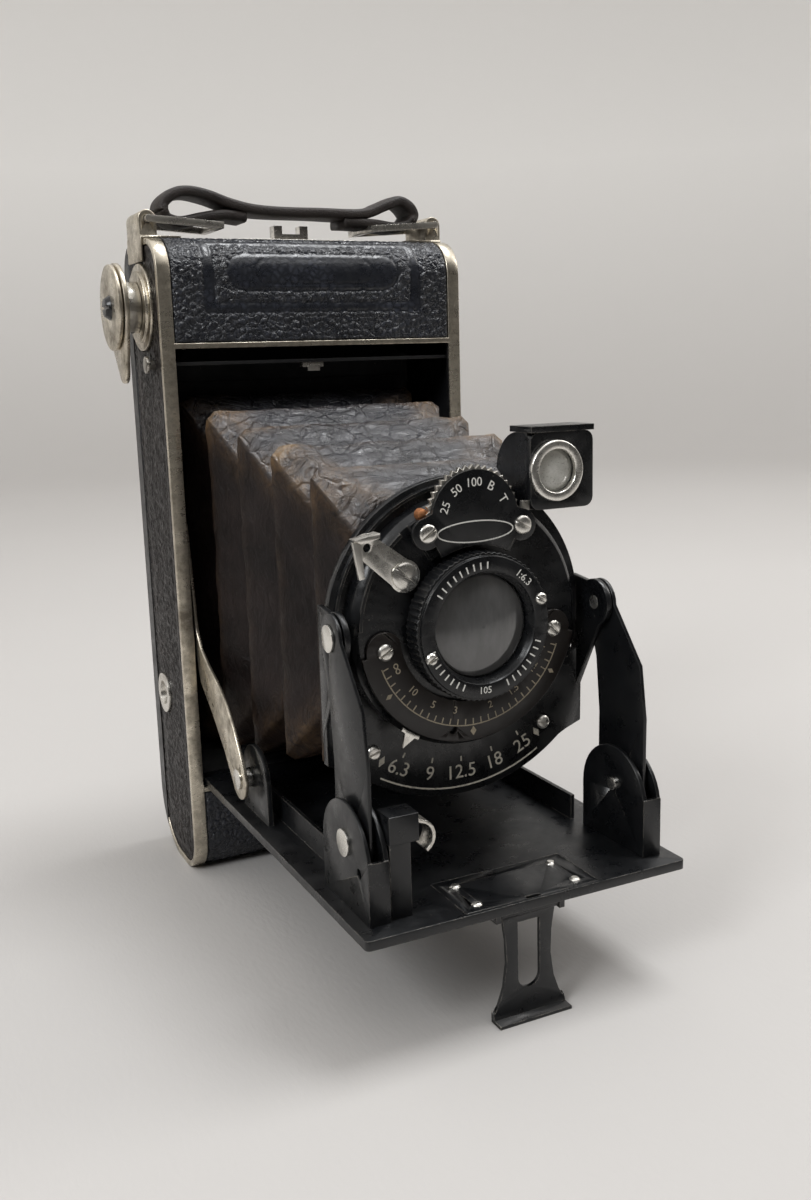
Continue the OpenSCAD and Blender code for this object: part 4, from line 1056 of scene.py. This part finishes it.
def turned_ring(name, centre, profile, material, a0, a1, n):
    """A ring or part of one, turned about an axis along Y through a centre.

    The profile is (radius, y) in mm, with y counted from the third value of the centre.
    """
    full = a1 - a0 >= 360
    count = n if full else n + 1
    verts = []
    for i in range(count):
        a = a0 + (a1 - a0) * i / n
        for r, y in profile:
            x, z = polar(r * MM, a)
            verts.append((centre[0] + x, centre[2] + y * MM, centre[1] + z))
    m = len(profile)
    faces = []
    for i in range(count if full else count - 1):
        here, there = i * m, (i + 1) % count * m
        for k in range(m):
            following = (k + 1) % m
            faces.append((here + k, here + following, there + following, there + k))
    if not full:
        faces += [tuple(range(m)), tuple((count - 1) * m + k for k in reversed(range(m)))]
    obj = new_piece(name, verts, faces, material, "standard")
    fix_normals(obj)
    obj.data.set_sharp_from_angle(angle=math.radians(40))


def make_shutter_trim():
    """The raised ribs of the shutter and the standard, and the copper-coloured stud by the speed plate."""
    case_y = low("distance_plate").y + 0.9 * MM
    stud_y = low("shutter_case").y - 0.2 * MM
    turned_ring("case_rib", (0, LENS.z, case_y), [(23.9, 0.2), (24.0, -0.35), (24.7, -0.35), (24.9, 0.2)],
                BLACK, 128, 178, 40)
    turned_ring("standard_rib", (0, LENS.z, PLATE_FRONT),
                [(27.5, 0.1), (27.6, -0.8), (28.2, -0.8), (28.4, 0.1)], BLACK, 62, 172, 80)
    turned_ring("copper_stud", (-10.9 * MM, LENS.z + 23.0 * MM, stud_y),
                [(0.05, -0.75), (0.7, -0.65), (1.15, -0.3), (1.25, 1.2), (0.05, 1.2)],
                COPPER, 0, 360, 32)


# Scene --------------------------------------------------------------------------------------------

def make_camera():
    """The photograph's viewpoint, above the lens and to its left. Its numbers were fitted to the picture."""
    data = bpy.data.cameras.new("camera")
    data.lens = 35.516
    data.sensor_width = 36
    camera = bpy.data.objects.new("camera", data)
    bpy.context.scene.collection.objects.link(camera)
    yaw, pitch, roll = 0.453636, 0.202277, -0.028976
    forward = Vector((math.sin(yaw) * math.cos(pitch), math.cos(yaw) * math.cos(pitch), -math.sin(pitch)))
    right = Vector((math.cos(yaw), -math.sin(yaw), 0))
    up = right.cross(forward)
    tilted = right * math.cos(roll) + up * math.sin(roll)
    upright = up * math.cos(roll) - right * math.sin(roll)
    place = Matrix((tilted, upright, -forward)).transposed().to_4x4()
    place.translation = Vector((-114.76, -295.69, 129.50)) * MM
    camera.matrix_world = place
    bpy.context.scene.camera = camera


def make_floor():
    """A pale floor that curves up far away on every side, so that no horizon shows."""
    flat, bend, wall = 1.1, 0.8, 1.6
    profile = [(0.0, 0.0), (0.3, 0.0), (0.7, 0.0)] + arc(flat, bend, bend, -90, 0, 15)
    profile.append((flat + bend, wall))
    around = 96
    verts = []
    for r, z in profile:
        verts += [(*polar(r, 360 * i / around), z) for i in range(around)]
    mesh = bpy.data.meshes.new("floor")
    mesh.from_pydata(verts, [], grid_faces(len(profile), around, True))
    mesh.materials.append(pale_cloth("pale_cloth"))
    mesh.shade_smooth()
    floor = bpy.data.objects.new("floor", mesh)
    bpy.context.scene.collection.objects.link(floor)


def area_light(name, place, target, size, power, colour):
    data = bpy.data.lights.new(name, "AREA")
    data.shape = "RECTANGLE"
    data.size, data.size_y = size
    data.energy = power
    data.color = colour
    light = bpy.data.objects.new(name, data)
    light.location = place
    light.rotation_euler = (Vector(target) - Vector(place)).to_track_quat("-Z", "Y").to_euler()
    bpy.context.scene.collection.objects.link(light)


def make_lights():
    """Soft light from all round, a key light above and a weaker one on each side."""
    world = bpy.data.worlds.new("studio")
    bpy.context.scene.world = world
    world.use_nodes = True
    world.node_tree.nodes["Background"].inputs[0].default_value = (1.0, 0.985, 0.97, 1)
    world.node_tree.nodes["Background"].inputs[1].default_value = 0.96
    centre = (0, -0.03, 0.07)
    area_light("ceiling", (0.32, -0.08, 1.1), centre, (0.5, 0.35), 6.2, (0.97, 0.985, 1))
    area_light("window", (-0.85, -0.45, 0.75), centre, (0.35, 0.4), 5.5, (0.96, 0.98, 1))
    area_light("right", (0.95, -0.15, 0.75), centre, (0.4, 0.5), 2.5, (1, 0.98, 0.96))
    bpy.context.scene.view_settings.view_transform = "Standard"


for node_name, (look, radius) in CAD_LOOKS.items():
    finish_cad(node_name, look, radius)
make_camera()
make_floor()
make_lights()
body_panels()
back_panel()
bed_panel()
make_bellows()
make_strap()
make_markings()
make_shutter_trim()
